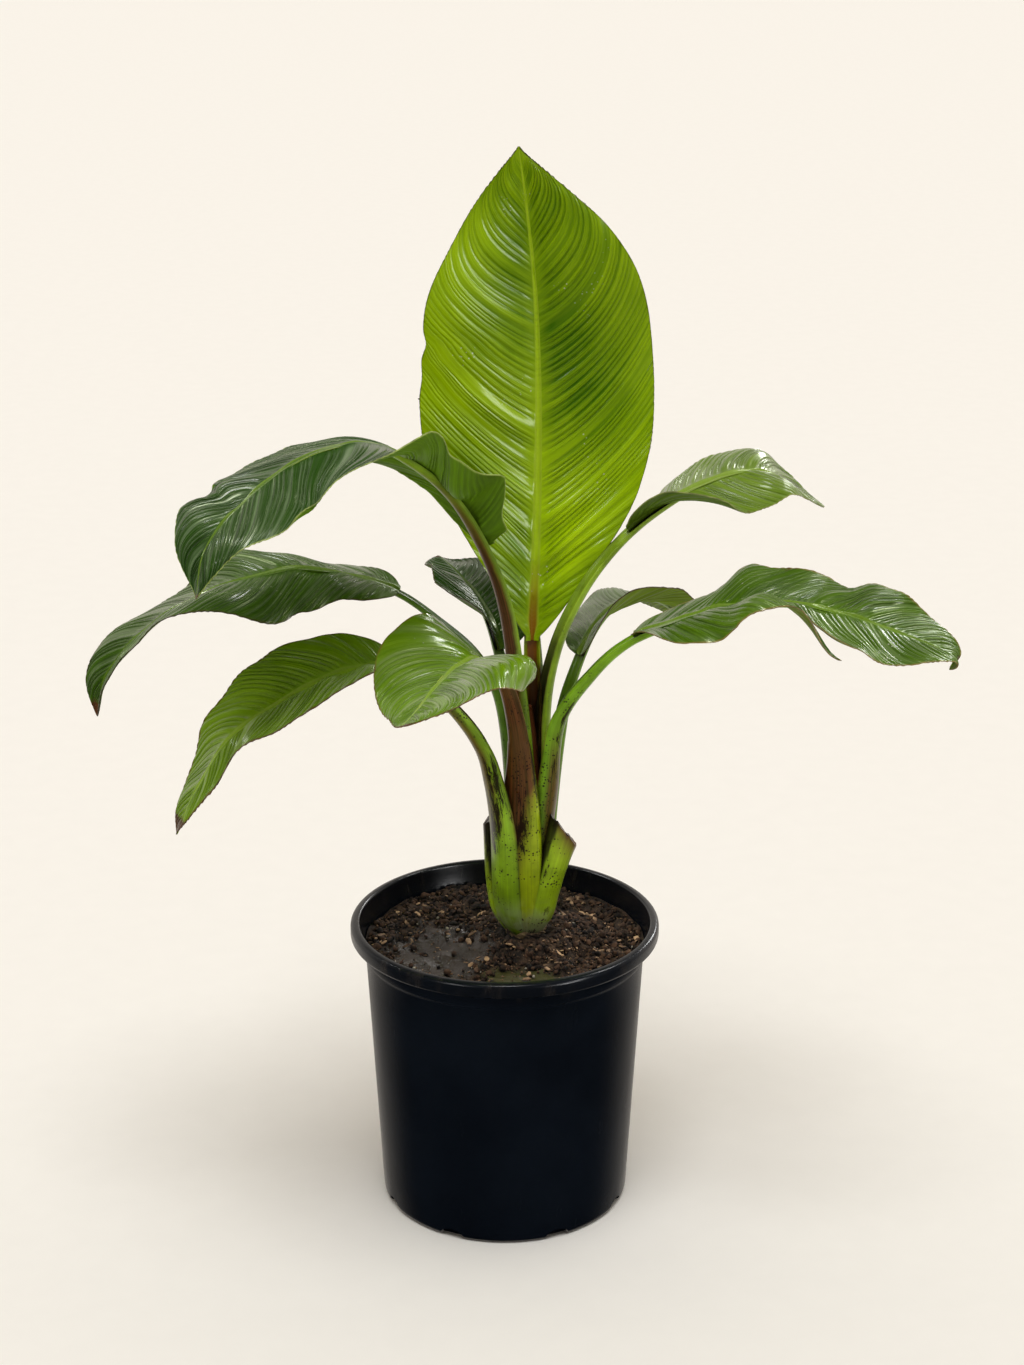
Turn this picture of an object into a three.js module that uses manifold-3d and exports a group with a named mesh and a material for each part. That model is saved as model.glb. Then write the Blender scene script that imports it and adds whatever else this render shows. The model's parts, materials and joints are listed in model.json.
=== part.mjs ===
// Banana plant in a round nursery pot. Millimetres, +Z up, origin at the centre of the pot's underside.
import * as THREE from "three";
import Module from "manifold-3d";

const wasm = await Module();
wasm.setup();

// Pot
const potHeight = 290;
const potRimRadius = 150;
const potBodyTopRadius = 135.5;
const potFootRadius = 121.5;
const potFloor = 4;
const potSides = 72;
const notchCount = 8;
const notchFromAxis = 25;
const notchWidth = 26;
const notchHeight = 10;

// Soil
const clearance = 0.35;
const soilLevel = 266;
const moundHeight = 11;
const moundReach = 62;
const soilSides = 36;

// Stem
const stemFoot = new THREE.Vector3(20, 0, soilLevel + moundHeight + clearance);
const footSpread = 0.45;
const footRadius = 11;
const footSink = 14;
const limbSides = 12;
const channelDepth = 0.55;

// Blades
const bladeStations = 20;
const bladeSteps = [0.36, 0.7, 1];
const leastThickness = 2.4;
const thicknessShare = 0.0112;
const marginLeast = 1.2;

// Each leaf: the path of its stalk and midrib, the knots where it leaves the stem and where the blade
// begins, the stalk radii (sheath, fork, end), and for each half its lift, curl and width along the blade.
const leaves = {
  centre: {
    azimuth: 90, fork: 1.5, bladeFrom: 2, radii: [11, 7.8, 7.2],
    path: [[22, 0, 413], [27, 6, 513], [26, 10, 571], [29, 18, 648], [31, 26, 732], [31, 30, 816],
      [28, 28, 900], [20, 18, 978], [13, 4, 1031]],
    halfWidth: 114, widest: 0.53, blunt: 0.57, sharp: 0.93, color: 0x7fae1c,
    left: {
      lift: [23, 19, 15, 12, 14, 18, 10, 2, -8], curl: [0, -12, -20, -22, -17],
      width: [0.5, 0.71, 0.89, 0.99, 0.98, 0.97, 1.03, 1, 1.08], notch: [0.62, 0.025, 0.03],
    },
    right: {
      lift: [16, 12, 4, -6, -9, 3, 14, 17, 26], curl: [0, -12, -26, -28, -22],
      width: [0.6, 0.75, 0.92, 0.97, 0.96, 0.95, 0.96, 1, 1],
    },
  },
  upperLeft: {
    azimuth: 208, fork: 0.9, bladeFrom: 3, radii: [12, 10.5, 8.5],
    path: [[21, -5, 426], [14, -8, 538], [3, -14, 617], [-16, -26, 675], [-44, -50, 729], [-81, -85, 771],
      [-120, -118, 795], [-174, -150, 789], [-225, -180, 754], [-253, -200, 720], [-261, -208, 680]],
    halfWidth: 80, widest: 0.55, blunt: 0.5, sharp: 0.8, color: 0x2f5a22,
    left: {
      lift: [90, 85, 14, 6, 16, 2, -8, -16, -15, -8, -7, -6, 16], curl: [50, 46, 24, -10, -12, -10, -10],
      width: [1, 1.1, 1.1, 1.1, 1.1, 1.05, 1.05, 1, 1, 1, 1, 1, 1],
    },
    right: {
      lift: [45, 26, 5, -13, -14, -7, 16, 20, -10], curl: [-20, -40, -10, 0, -30],
      width: [1, 1, 1, 1, 0.97, 0.95, 0.95, 1.06, 1.05],
    },
  },
  midLeft: {
    azimuth: 185, fork: 1.05, bladeFrom: 4, radii: [9, 7.5, 5.8],
    path: [[10, 8, 410], [-1, 8, 507], [-23, 5, 558], [-60, 0, 596], [-97, -5, 625],
      [-143, -12, 643], [-188, -20, 652], [-233, -28, 645], [-274, -34, 633], [-326, -40, 603],
      [-366, -44, 558], [-378, -46, 516]],
    halfWidth: 56, widest: 0.45, blunt: 0.6, sharp: 0.6, color: 0x2f5f1f,
    left: {
      lift: [-20, -19, -44, -20, 8, 7, 3, 0, 0], curl: [-40, -35, -5, 0, 0],
      width: [1.04, 1.07, 1.11, 1.05, 1, 1, 1, 1, 1],
    },
    right: {
      lift: [27, -9, 2, 14, -3, 0, 27, 49, 40], curl: [-20, -15, -15, 10, 0],
      width: [1, 1, 1.03, 1.02, 0.98, 1, 1.03, 1.04, 1],
    },
  },
  lowerLeft: {
    azimuth: 192, fork: 2.9, bladeFrom: 5.6, radii: [13.5, 11.5, 6.5], breadth: 1.25,
    path: [[2, -12, 314], [-1, -20, 391], [-8, -28, 445], [-19, -36, 486], [-48, -48, 530],
      [-82, -58, 559], [-112, -66, 573], [-156, -78, 567], [-202, -92, 547], [-250, -106, 516],
      [-279, -116, 472], [-299, -122, 429]],
    halfWidth: 56, widest: 0.4, blunt: 0.5, sharp: 0.5, color: 0x4e8c1f,
    left: {
      lift: [9, 1, -3, -8, 1, -20, -13, 2, 20], curl: [-20, -22, -4, 10, 0],
      width: [0.5, 0.68, 0.85, 0.92, 0.84, 0.73, 0.67, 0.63, 0.6],
    },
    right: {
      lift: [23, 29, 31, 30, 17, 11, 2, 17, -5], curl: [-5, -14, -10, -5, -10],
      width: [1, 1, 1, 1, 1, 0.98, 0.97, 1, 1],
    },
  },
  front: {
    azimuth: 240, fork: 1.25, bladeFrom: 3.4, radii: [13, 10, 6.5], breadth: 1.75,
    path: [[15, -22, 371], [15, -32, 467], [8, -46, 527], [-5, -64, 567], [-25, -92, 587], [-43, -130, 592],
      [-60, -175, 589], [-74, -215, 583], [-87, -245, 579]],
    halfWidth: 72, widest: 0.4, blunt: 0.5, sharp: 0.5, color: 0x4a7d24,
    left: { lift: [14, 12, 10, 11, 11, 10, 15, 18, 14], curl: [0, -26, -22, -10, -10], width: [1, 1] },
    right: {
      lift: [23, 35, 14, -6, -17, -22, -26, -26, -20], curl: [10, -5, -22, -20, 0],
      width: [1, 1, 0.98, 0.99, 0.97, 0.93, 0.84, 0.7, 0.6],
    },
  },
  upperRight: {
    azimuth: 20, fork: 1.75, bladeFrom: 5, radii: [10, 8.2, 7],
    path: [[34, 3, 412], [35, 0, 505], [45, -5, 565], [61, -8, 609], [83, -6, 647], [114, 6, 680],
      [149, 26, 701], [183, 46, 714], [220, 64, 721], [252, 80, 716], [272, 91, 700], [307, 100, 677]],
    halfWidth: 52, widest: 0.45, blunt: 0.6, sharp: 0.6, color: 0x35651f,
    left: { lift: [-25, -26, -5, 2, 8, 23, 21, 7, 15], curl: [0, 0, -4, -12, -20], width: [1, 1] },
    right: {
      lift: [60, 30, -16, -31, -30, -7, -4, -6, -15], curl: [-20, -12, -9, -12, -20],
      width: [1, 1, 1, 1, 1.03, 1.02, 1, 1, 1],
    },
  },
  right: {
    azimuth: -8, fork: 1.6, bladeFrom: 4.2, radii: [12.5, 11.4, 7.5], breadth: 1.2,
    path: [[30, -8, 354], [39, -16, 430], [47, -26, 504], [78, -34, 555], [111, -42, 589],
      [152, -50, 610], [202, -60, 627], [258, -72, 635], [311, -84, 626], [360, -94, 611],
      [402, -102, 594], [401, -104, 581]],
    halfWidth: 60, widest: 0.5, blunt: 0.5, sharp: 0.5, color: 0x32601f,
    left: {
      lift: [14, -2, 19, 10, 10, 39, 20, 23, -3], curl: [0, 0, 0, -2, -10],
      width: [0.96, 0.98, 1.05, 1.08, 1.06, 0.94, 0.91, 0.98, 1], ripple: [2.5, 6, 0.3],
    },
    right: {
      lift: [26, -19, -2, 25, -20, -22, -21, 1, 18], curl: [-10, -27, -27, -18, -10],
      width: [1, 1.06, 1.07, 1.05, 1.06, 1, 1, 1.02, 1], ripple: [2.5, 6, 0],
    },
  },
  backRight: {
    azimuth: 40, fork: 0.95, bladeFrom: 2.4, radii: [8.5, 7.5, 6],
    path: [[39, 14, 387], [53, 24, 486], [65, 34, 531], [82, 52, 566], [104, 80, 583], [133, 120, 580],
      [160, 160, 560], [177, 195, 531]],
    halfWidth: 50, widest: 0.45, blunt: 0.5, sharp: 0.5, color: 0x31601f,
    left: { lift: [7, -19, -16, -10, 0, -7, -11, -6, 10], curl: [0, -9, -6, 1, 0], width: [1.08, 1, 1] },
    right: { lift: [28, 40, 22, 21, 15, 12, 12, 10, 7], curl: [20, 28, 38, 34, 0], width: [1, 1.04, 1] },
  },
  backLeft: {
    azimuth: 140, fork: 0.95, bladeFrom: 2.4, radii: [9, 7.5, 6],
    path: [[20, 12, 388], [10, 24, 486], [-1, 38, 537], [-10, 62, 564], [-22, 100, 579], [-39, 142, 589],
      [-54, 171, 596], [-66, 193, 600]],
    halfWidth: 50, widest: 0.45, blunt: 0.5, sharp: 0.5, color: 0x2c591f,
    left: { lift: [45, 36, 10, 19, 26, 16, 5, 0, 0], curl: [-20, -10, 0], width: [0.95, 0.95] },
    right: { lift: [19, 20, 22, 23, 22, 18, 10, -10, -30], curl: [0, -11, -8], width: [1, 1] },
  },
  back: {
    azimuth: 112, fork: 1, bladeFrom: 2.4, radii: [9, 8, 6.5],
    path: [[29, 14, 387], [32, 30, 484], [26, 48, 579], [15, 74, 661], [-4, 110, 720], [-32, 155, 753],
      [-60, 195, 763], [-86, 228, 753]],
    halfWidth: 60, widest: 0.45, blunt: 0.5, sharp: 0.8, color: 0x2e5c1f,
    left: { lift: [20, 0, -25, -30, -20], curl: [0, -20, -20, 0], width: [1, 1, 0.9, 0.7, 0.6] },
    right: { lift: [20, 0, -25, -30, -20], curl: [0, -20, -20, 0], width: [1, 1] },
  },
};

// The two old sheaths cut off beside the stem: their axis, radius, hollow and slanting cut.
const stubs = {
  leftStub: {
    path: [[3, 3, -14], [-8, 5, 52], [-11, 6, 118]],
    radii: [10.5, 11], inward: [3, 0.5], cut: [-0.7, 0.1, 1],
  },
  rightStub: {
    path: [[32, -13, -14], [41, -21, 50], [57, -22, 112]],
    radii: [10.5, 13.5], inward: [-2, 1], cut: [1.3, 0.3, 1],
  },
};
const stubWall = 3.2;
const stubHollow = 42;
const stubTrim = 7;

const group = new THREE.Group();
const up = new THREE.Vector3(0, 0, 1);

function addSolid(name, solid, color, roughness) {
  const mesh = solid.getMesh();
  const geometry = new THREE.BufferGeometry();
  geometry.setAttribute("position", new THREE.BufferAttribute(positionsOf(mesh), 3));
  geometry.setIndex(new THREE.BufferAttribute(Uint32Array.from(mesh.triVerts), 1));
  geometry.computeVertexNormals();
  const material = new THREE.MeshStandardMaterial({ color, roughness, metalness: 0 });
  const node = new THREE.Mesh(geometry, material);
  node.name = name;
  group.add(node);
}

function positionsOf(mesh) {
  const positions = new Float32Array(mesh.numVert * 3);
  for (let i = 0; i < mesh.numVert; i += 1) {
    positions.set(mesh.vertProperties.slice(i * mesh.numProp, i * mesh.numProp + 3), i * 3);
  }
  return positions;
}

function solidFrom(points, triangles) {
  const vertProperties = Float32Array.from(points.flatMap((p) => [p.x, p.y, p.z]));
  const triVerts = Uint32Array.from(triangles.flat());
  const solid = new wasm.Manifold(new wasm.Mesh({ numProp: 3, vertProperties, triVerts }));
  if (solid.volume() > 0) return solid;
  const flipped = Uint32Array.from(triangles.flatMap(([a, b, c]) => [a, c, b]));
  return new wasm.Manifold(new wasm.Mesh({ numProp: 3, vertProperties, triVerts: flipped }));
}

// Joins a row of equal closed rings into one solid with a fan at each end.
function ringSolid(rings) {
  const count = rings[0].length;
  const points = rings.flat();
  const triangles = [];
  for (let i = 0; i < rings.length - 1; i += 1) {
    for (let j = 0; j < count; j += 1) {
      const a = i * count + j;
      const b = i * count + ((j + 1) % count);
      triangles.push([a, b, b + count], [a, b + count, a + count]);
    }
  }
  for (const end of [0, rings.length - 1]) {
    const middle = new THREE.Vector3();
    rings[end].forEach((p) => middle.addScaledVector(p, 1 / count));
    points.push(middle);
    for (let j = 0; j < count; j += 1) {
      const a = end * count + j;
      const b = end * count + ((j + 1) % count);
      triangles.push(end === 0 ? [b, a, points.length - 1] : [a, b, points.length - 1]);
    }
  }
  return solidFrom(points, triangles);
}

// Turns a profile of [radius, height] pairs, which starts and ends on the axis, about Z.
function revolve(profile, sides, heightAt) {
  const inner = profile.slice(1, -1);
  const rings = inner.map(([radius, height]) => {
    const ring = [];
    for (let j = 0; j < sides; j += 1) {
      const angle = (2 * Math.PI * j) / sides;
      const x = radius * Math.cos(angle);
      const y = radius * Math.sin(angle);
      ring.push(new THREE.Vector3(x, y, heightAt ? heightAt(x, y, height) : height));
    }
    return ring;
  });
  return ringSolid(rings);
}

// Value at t of evenly spaced keys, by the same curve that the paths use.
function keyed(keys, t) {
  const last = keys.length - 1;
  const place = Math.min(Math.max(t, 0), 1) * last;
  const i = Math.min(Math.floor(place), last - 1);
  const f = place - i;
  const b = keys[i];
  const c = keys[i + 1];
  const a = i > 0 ? keys[i - 1] : 2 * b - c;
  const d = i + 2 <= last ? keys[i + 2] : 2 * c - b;
  const square = 2 * a - 5 * b + 4 * c - d;
  const cube = 3 * b - a - 3 * c + d;
  return 0.5 * (2 * b + (c - a) * f + square * f * f + cube * f ** 3);
}

function pointOn(points, knot) {
  const t = knot / (points.length - 1);
  return new THREE.Vector3(...[0, 1, 2].map((axis) => keyed(points.map((p) => p[axis]), t)));
}

function directionOn(points, knot) {
  const step = 0.01;
  const from = pointOn(points, Math.max(knot - step, 0));
  return pointOn(points, Math.min(knot + step, points.length - 1)).sub(from).normalize();
}

// Knots at even lengths along the path between two knots.
function evenKnots(points, from, to, count) {
  const fine = 400;
  const lengths = [0];
  let before = pointOn(points, from);
  for (let i = 1; i <= fine; i += 1) {
    const here = pointOn(points, from + ((to - from) * i) / fine);
    lengths.push(lengths[i - 1] + here.distanceTo(before));
    before = here;
  }
  const total = lengths[fine];
  const knots = [];
  let k = 0;
  for (let i = 0; i <= count; i += 1) {
    const target = (total * i) / count;
    while (k < fine - 1 && lengths[k + 1] < target) k += 1;
    const share = (target - lengths[k]) / (lengths[k + 1] - lengths[k]);
    knots.push(from + ((to - from) * (k + share)) / fine);
  }
  return { knots, total };
}

// Across and upward directions of a leaf that points to the azimuth, square to its path.
function frameOn(points, knot, azimuth) {
  const along = directionOn(points, knot);
  const angle = THREE.MathUtils.degToRad(azimuth);
  const outward = new THREE.Vector3(Math.cos(angle), Math.sin(angle), 0);
  const across = new THREE.Vector3().crossVectors(up, outward);
  across.addScaledVector(along, -along.dot(across)).normalize();
  return { along, across, upward: new THREE.Vector3().crossVectors(along, across) };
}

// Round limb along a path, with a channel pressed into its upper side where channel is over 0.
function limb(points, azimuth, from, to, count, radiusAt, channel, breadthAt = () => 1) {
  const { knots } = evenKnots(points, from, to, count);
  const rings = knots.map((knot, i) => {
    const { across, upward } = frameOn(points, knot, azimuth);
    const centre = pointOn(points, knot);
    const radius = radiusAt(i / count);
    const ring = [];
    for (let j = 0; j < limbSides; j += 1) {
      const angle = (2 * Math.PI * (j + 0.5)) / limbSides;
      const dip = channel * (i / count) * Math.max(0, Math.sin(angle)) ** 6;
      const side = radius * Math.cos(angle) * breadthAt(i / count);
      const rise = radius * (Math.sin(angle) - dip);
      ring.push(centre.clone().addScaledVector(across, side).addScaledVector(upward, rise));
    }
    return ring;
  });
  return ringSolid(rings);
}

function fullPath(leaf) {
  const [x, y] = leaf.path[0];
  const footX = stemFoot.x + footSpread * (x - stemFoot.x);
  const footY = stemFoot.y + footSpread * (y - stemFoot.y);
  return [[footX, footY, stemFoot.z - footSink], ...leaf.path];
}

function sheath(leaf, extra) {
  const path = fullPath(leaf);
  const [sheathRadius, forkRadius] = leaf.radii;
  const radiusAt = (t) => keyed([footRadius, sheathRadius, forkRadius], t) + extra;
  const forkKnot = leaf.fork + 1;
  const perKnot = pointOn(path, forkKnot + 0.05).distanceTo(pointOn(path, forkKnot)) / 0.05;
  const breadthAt = (t) => 1 + ((leaf.breadth ?? 1.1) - 1) * Math.sin(Math.PI * t);
  return limb(path, leaf.azimuth, 0, forkKnot + extra / perKnot, 8, radiusAt, 0, breadthAt);
}

function core(extra) {
  const { x, y, z } = stemFoot;
  const path = [[x, y, z - footSink], [x, y, z + 60], [x - 1, y, z + 140], [x - 1, y + 3, z + 215]];
  const radiusAt = (t) => keyed([19.5, 20.5, 20, 13], t) + extra;
  return limb(path, 90, 0, 3, 6, radiusAt, 0);
}

function pseudostem(extra, floor) {
  const sheaths = Object.values(leaves).map((leaf) => sheath(leaf, extra));
  return wasm.Manifold.union([core(extra), ...sheaths]).trimByPlane([0, 0, 1], floor);
}

function stalk(leaf) {
  const path = fullPath(leaf);
  const [, forkRadius, endRadius] = leaf.radii;
  const radiusAt = (t) => forkRadius + (endRadius - forkRadius) * t;
  const from = leaf.fork + 1;
  const to = leaf.bladeFrom + 1;
  const count = Math.max(3, Math.round((to - from) * 3));
  return limb(path, leaf.azimuth, from, to, count, radiusAt, channelDepth);
}

function outlineAt(leaf, t) {
  const skew = Math.log(0.5) / Math.log(leaf.widest);
  const ending = Math.min(Math.max((t - 0.65) / 0.35, 0), 1);
  const power = leaf.blunt + (leaf.sharp - leaf.blunt) * ending;
  return Math.max(Math.sin(Math.PI * t ** skew), 0) ** power;
}

function halfWidthAt(leaf, half, t) {
  let width = leaf.halfWidth * outlineAt(leaf, t) * keyed(half.width, t);
  if (half.notch) {
    const [place, spread, depth] = half.notch;
    width *= 1 - depth * Math.exp(-(((t - place) / spread) ** 2));
  }
  return Math.max(width, marginLeast, leaf.radii[2] * (1 - 8 * t));
}

// Place and upward normal of a half blade at t along it and e from the midrib to the margin.
function bladePoint(leaf, half, side, at, t, e) {
  const lift = keyed(half.lift, t);
  const curl = keyed(half.curl, t);
  const inner = THREE.MathUtils.degToRad(lift - curl / 2);
  let bend = THREE.MathUtils.degToRad(curl);
  if (Math.abs(bend) < 1e-4) bend = 1e-4;
  const width = halfWidthAt(leaf, half, t);
  const out = (width * (Math.sin(inner + bend * e) - Math.sin(inner))) / bend;
  let rise = (-width * (Math.cos(inner + bend * e) - Math.cos(inner))) / bend;
  if (half.ripple) {
    const [waves, height, phase] = half.ripple;
    rise += height * Math.sin(2 * Math.PI * (waves * t + phase)) * e * e * Math.sin(Math.PI * t);
  }
  const slope = inner + bend * e;
  const place = at.centre.clone().addScaledVector(at.across, side * out).addScaledVector(at.upward, rise);
  const normal = at.upward.clone().multiplyScalar(Math.cos(slope));
  normal.addScaledVector(at.across, -side * Math.sin(slope));
  return { place, normal };
}

function blade(leaf) {
  const path = fullPath(leaf);
  const start = leaf.bladeFrom + 1;
  const perKnot = pointOn(path, start + 0.05).distanceTo(pointOn(path, start)) / 0.05;
  const { knots, total } = evenKnots(path, start + clearance / perKnot, path.length - 1, bladeStations);
  const thickness = Math.max(leastThickness, thicknessShare * total);
  const rings = knots.map((knot, i) => {
    const t = i / bladeStations;
    const at = { centre: pointOn(path, knot), ...frameOn(path, knot, leaf.azimuth) };
    return bladeRing(leaf, at, t, thickness);
  });
  return ringSolid(rings);
}

function bladeRing(leaf, at, t, thickness) {
  const rib = leaf.radii[2] * (1 - t) ** 0.8;
  const upper = [];
  const lower = [];
  for (const [side, half] of [[1, leaf.left], [-1, leaf.right]]) {
    const width = halfWidthAt(leaf, half, t);
    const ribEdge = Math.min(0.3, (rib + 0.6) / width);
    const row = [ribEdge, ...bladeSteps].map((e) => {
      const { place, normal } = bladePoint(leaf, half, side, at, t, e);
      const depth = (thickness / 2) * (e === 1 ? 0.75 : 1);
      return [place.clone().addScaledVector(normal, depth), place.clone().addScaledVector(normal, -depth)];
    });
    upper.push(row.map((pair) => pair[0]));
    lower.push(row.map((pair) => pair[1]));
  }
  const top = at.centre.clone().addScaledVector(at.upward, thickness / 2);
  const bottom = at.centre.clone().addScaledVector(at.upward, -thickness / 2 - rib);
  return [top, ...upper[0], ...lower[0].reverse(), bottom, ...lower[1], ...upper[1].reverse()];
}

function stub({ path, radii, inward, cut }, stem) {
  const points = path.map(([x, y, z]) => [x, y, z + stemFoot.z]);
  const [foot, middle, top] = points;
  const shell = limb(points, 90, 0, 2, 6, (t) => radii[0] + (radii[1] - radii[0]) * t, 0);
  const beyond = [2 * top[0] - middle[0], 2 * top[1] - middle[1], top[2] + 60];
  const inner = [...points, beyond].map(([x, y, z]) => [x + inward[0], y + inward[1], z]);
  const hollowFrom = 2 * (1 - stubHollow / (top[2] - foot[2]));
  const hollowRadius = (t) => (radii[1] - stubWall) * (0.7 + 0.3 * Math.min(1, 3 * t));
  const hollow = limb(inner, 90, hollowFrom, 3, 4, hollowRadius, 0);
  const normal = new THREE.Vector3(...cut).normalize();
  const level = normal.dot(new THREE.Vector3(...top)) - stubTrim;
  const opened = shell.subtract(hollow).subtract(stem);
  const cutOff = opened.trimByPlane([-normal.x, -normal.y, -normal.z], -level);
  const grounded = cutOff.trimByPlane([0, 0, 1], stemFoot.z);
  return grounded.decompose().sort((a, b) => b.volume() - a.volume())[0];
}

function pot() {
  const lip = potHeight - 15.5;
  const outer = [
    [0, 0], [115, 0], [118.4, 0.9], [120.6, 3], [potFootRadius, 7], [potBodyTopRadius, 257],
    [138.2, 260.5], [139, lip], [146.5, lip], [149.2, lip + 1.4], [potRimRadius, lip + 4.5],
    [potRimRadius, potHeight - 5.5], [149, potHeight - 2], [146.4, potHeight], [143.6, potHeight],
  ];
  const inner = [
    [141.6, potHeight - 1.6], [140.8, potHeight - 5], [137, 266], [133.2, 256], [118.5, 12],
    [115, 4.6], [110, potFloor], [0, potFloor],
  ];
  const shell = revolve([...outer, ...inner], potSides);
  const notches = [];
  for (let i = 0; i < notchCount; i += 1) {
    const sign = i % 2 === 0 ? 1 : -1;
    const angle = 90 * Math.floor(i / 2) + sign * notchFromAxis;
    const arch = wasm.Manifold.cylinder(18, notchWidth / 2, notchWidth / 2, 20)
      .scale([1, (2 * notchHeight) / notchWidth, 1])
      .rotate([90, 0, 90])
      .translate([112, 0, 0]);
    notches.push(arch.rotate([0, 0, angle]));
  }
  return shell.subtract(wasm.Manifold.union(notches));
}

// Height of the soil: a mound flat under the stem, with low lumps towards the pot's wall.
function soilHeight(x, y) {
  const fromStem = Math.hypot(x - stemFoot.x, y - stemFoot.y);
  const fromMiddle = Math.hypot(x, y);
  const lumps = 2.2 * Math.sin(0.09 * x + 0.05 * y) + 1.8 * Math.sin(0.13 * y - 0.07 * x + 1.3)
    + 1.3 * Math.sin(0.21 * x + 0.17 * y + 0.6);
  const blend = THREE.MathUtils.smoothstep(fromStem, 38, moundReach);
  const settle = 1 - THREE.MathUtils.smoothstep(fromMiddle, 95, 136);
  return soilLevel + moundHeight * (1 - blend) + lumps * blend * (0.4 + 0.6 * settle);
}

function soil() {
  const low = potFloor + clearance;
  const within = (radius) => radius * Math.cos(Math.PI / potSides) - clearance;
  const side = [[0, low], [109, low], [within(115), 5], [within(118.5), 12.4], [within(133.2), 256]];
  side.push([within(136.9), soilLevel - 0.6]);
  const rings = [126, 114, 102, 90, 78, 67, 56, 46, 38, 28, 16].map((radius) => [radius, soilLevel]);
  const heightAt = (x, y, height) => (height < soilLevel ? height : soilHeight(x, y));
  return revolve([...side, ...rings, [0, soilLevel]], soilSides, heightAt);
}

const grownStem = pseudostem(clearance, stemFoot.z - clearance);
addSolid("pot", pot(), 0x14161b, 0.5);
addSolid("soil", soil(), 0x2b1d15, 0.95);
addSolid("pseudostem", pseudostem(0, stemFoot.z), 0x74962a, 0.5);
for (const [name, shape] of Object.entries(stubs)) {
  addSolid(name, stub(shape, grownStem), 0x6d8a2b, 0.55);
}
for (const [name, leaf] of Object.entries(leaves)) {
  addSolid(`${name}Stalk`, stalk(leaf).subtract(grownStem), 0x7a9c2c, 0.5);
  addSolid(`${name}Blade`, blade(leaf), leaf.color, 0.45);
}

export default group;
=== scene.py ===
import json
import math
from functools import partial

import bmesh
import bpy
import numpy as np
from mathutils import Euler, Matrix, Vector, noise

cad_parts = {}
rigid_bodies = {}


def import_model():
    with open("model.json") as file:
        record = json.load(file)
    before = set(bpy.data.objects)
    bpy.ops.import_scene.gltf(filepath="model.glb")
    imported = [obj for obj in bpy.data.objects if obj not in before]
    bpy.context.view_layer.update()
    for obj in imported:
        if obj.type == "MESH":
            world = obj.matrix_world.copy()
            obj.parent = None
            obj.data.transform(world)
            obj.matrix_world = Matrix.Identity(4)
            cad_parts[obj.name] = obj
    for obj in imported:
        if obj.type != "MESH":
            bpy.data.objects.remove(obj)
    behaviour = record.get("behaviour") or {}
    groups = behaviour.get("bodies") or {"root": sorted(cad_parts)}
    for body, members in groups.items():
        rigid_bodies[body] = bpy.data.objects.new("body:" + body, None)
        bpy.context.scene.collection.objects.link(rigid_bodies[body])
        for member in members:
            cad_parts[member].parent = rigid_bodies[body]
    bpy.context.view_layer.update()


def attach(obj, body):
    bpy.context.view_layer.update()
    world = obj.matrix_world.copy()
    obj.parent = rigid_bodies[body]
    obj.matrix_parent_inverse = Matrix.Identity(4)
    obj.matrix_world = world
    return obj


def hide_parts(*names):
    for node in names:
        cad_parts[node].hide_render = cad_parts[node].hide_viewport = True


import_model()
mm = 0.001


def swatch(red, green, blue):  # a colour as read on a paint card, made linear
    card = [red / 255, green / 255, blue / 255]
    linear = [c / 12.92 if c <= 0.04045 else ((c + 0.055) / 1.055) ** 2.4 for c in card]
    return (*linear, 1.0)


def deselectAll():
    if bpy.context.object and bpy.context.object.mode != "OBJECT":
        bpy.ops.object.mode_set(mode="OBJECT")
    for other in bpy.context.scene.objects:
        other.select_set(False)


def choose(obj):
    deselectAll()
    obj.select_set(True)
    bpy.context.view_layer.objects.active = obj


def addModifier(obj, kind, **settings):
    choose(obj)
    modifier = obj.modifiers.new(kind.lower(), kind)
    for name, value in settings.items():
        setattr(modifier, name, value)
    bpy.ops.object.modifier_apply(modifier=modifier.name)


def meshPiece(name, places, faces, smoothAngle=60):
    mesh = bpy.data.meshes.new(name)
    mesh.from_pydata([tuple(place) for place in places], [], faces)
    mesh.update()
    piece = bpy.data.objects.new(name, mesh)
    bpy.context.scene.collection.objects.link(piece)
    smoothed(piece, smoothAngle)
    return piece


def smoothed(piece, angle):
    choose(piece)
    bpy.ops.object.shade_smooth_by_angle(angle=math.radians(angle))


def writeAttribute(piece, name, values):
    layer = piece.data.attributes.new(name, "FLOAT", "POINT")
    layer.data.foreach_set("value", np.asarray(values, np.float32))


def writeMap(piece, name, across, along):
    layer = piece.data.uv_layers.new(name=name)
    corners = np.zeros(len(piece.data.loops), np.int32)
    piece.data.loops.foreach_get("vertex_index", corners)
    pairs = np.stack([np.asarray(across)[corners], np.asarray(along)[corners]], 1)
    layer.uv.foreach_set("vector", pairs.astype(np.float32).ravel())


def settle(piece, slotName, *nodes):  # rides on the plant and stands for its nodes
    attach(piece, "root")
    if nodes:
        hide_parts(*nodes)
    return piece


def wander(x, seed, waves=5, reach=3.0):  # smooth wandering line between about -1 and 1
    dice = np.random.default_rng(seed)
    total = np.zeros_like(np.asarray(x, float))
    for _ in range(waves):
        pace = dice.uniform(0.4, reach)
        total += np.sin(2 * np.pi * (pace * x + dice.uniform())) * dice.uniform(0.4, 1)
    return total / (0.7 * waves) ** 0.5


def smoothStep(value, low, high):
    share = np.clip((value - low) / (high - low), 0, 1)
    return share * share * (3 - 2 * share)


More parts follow.
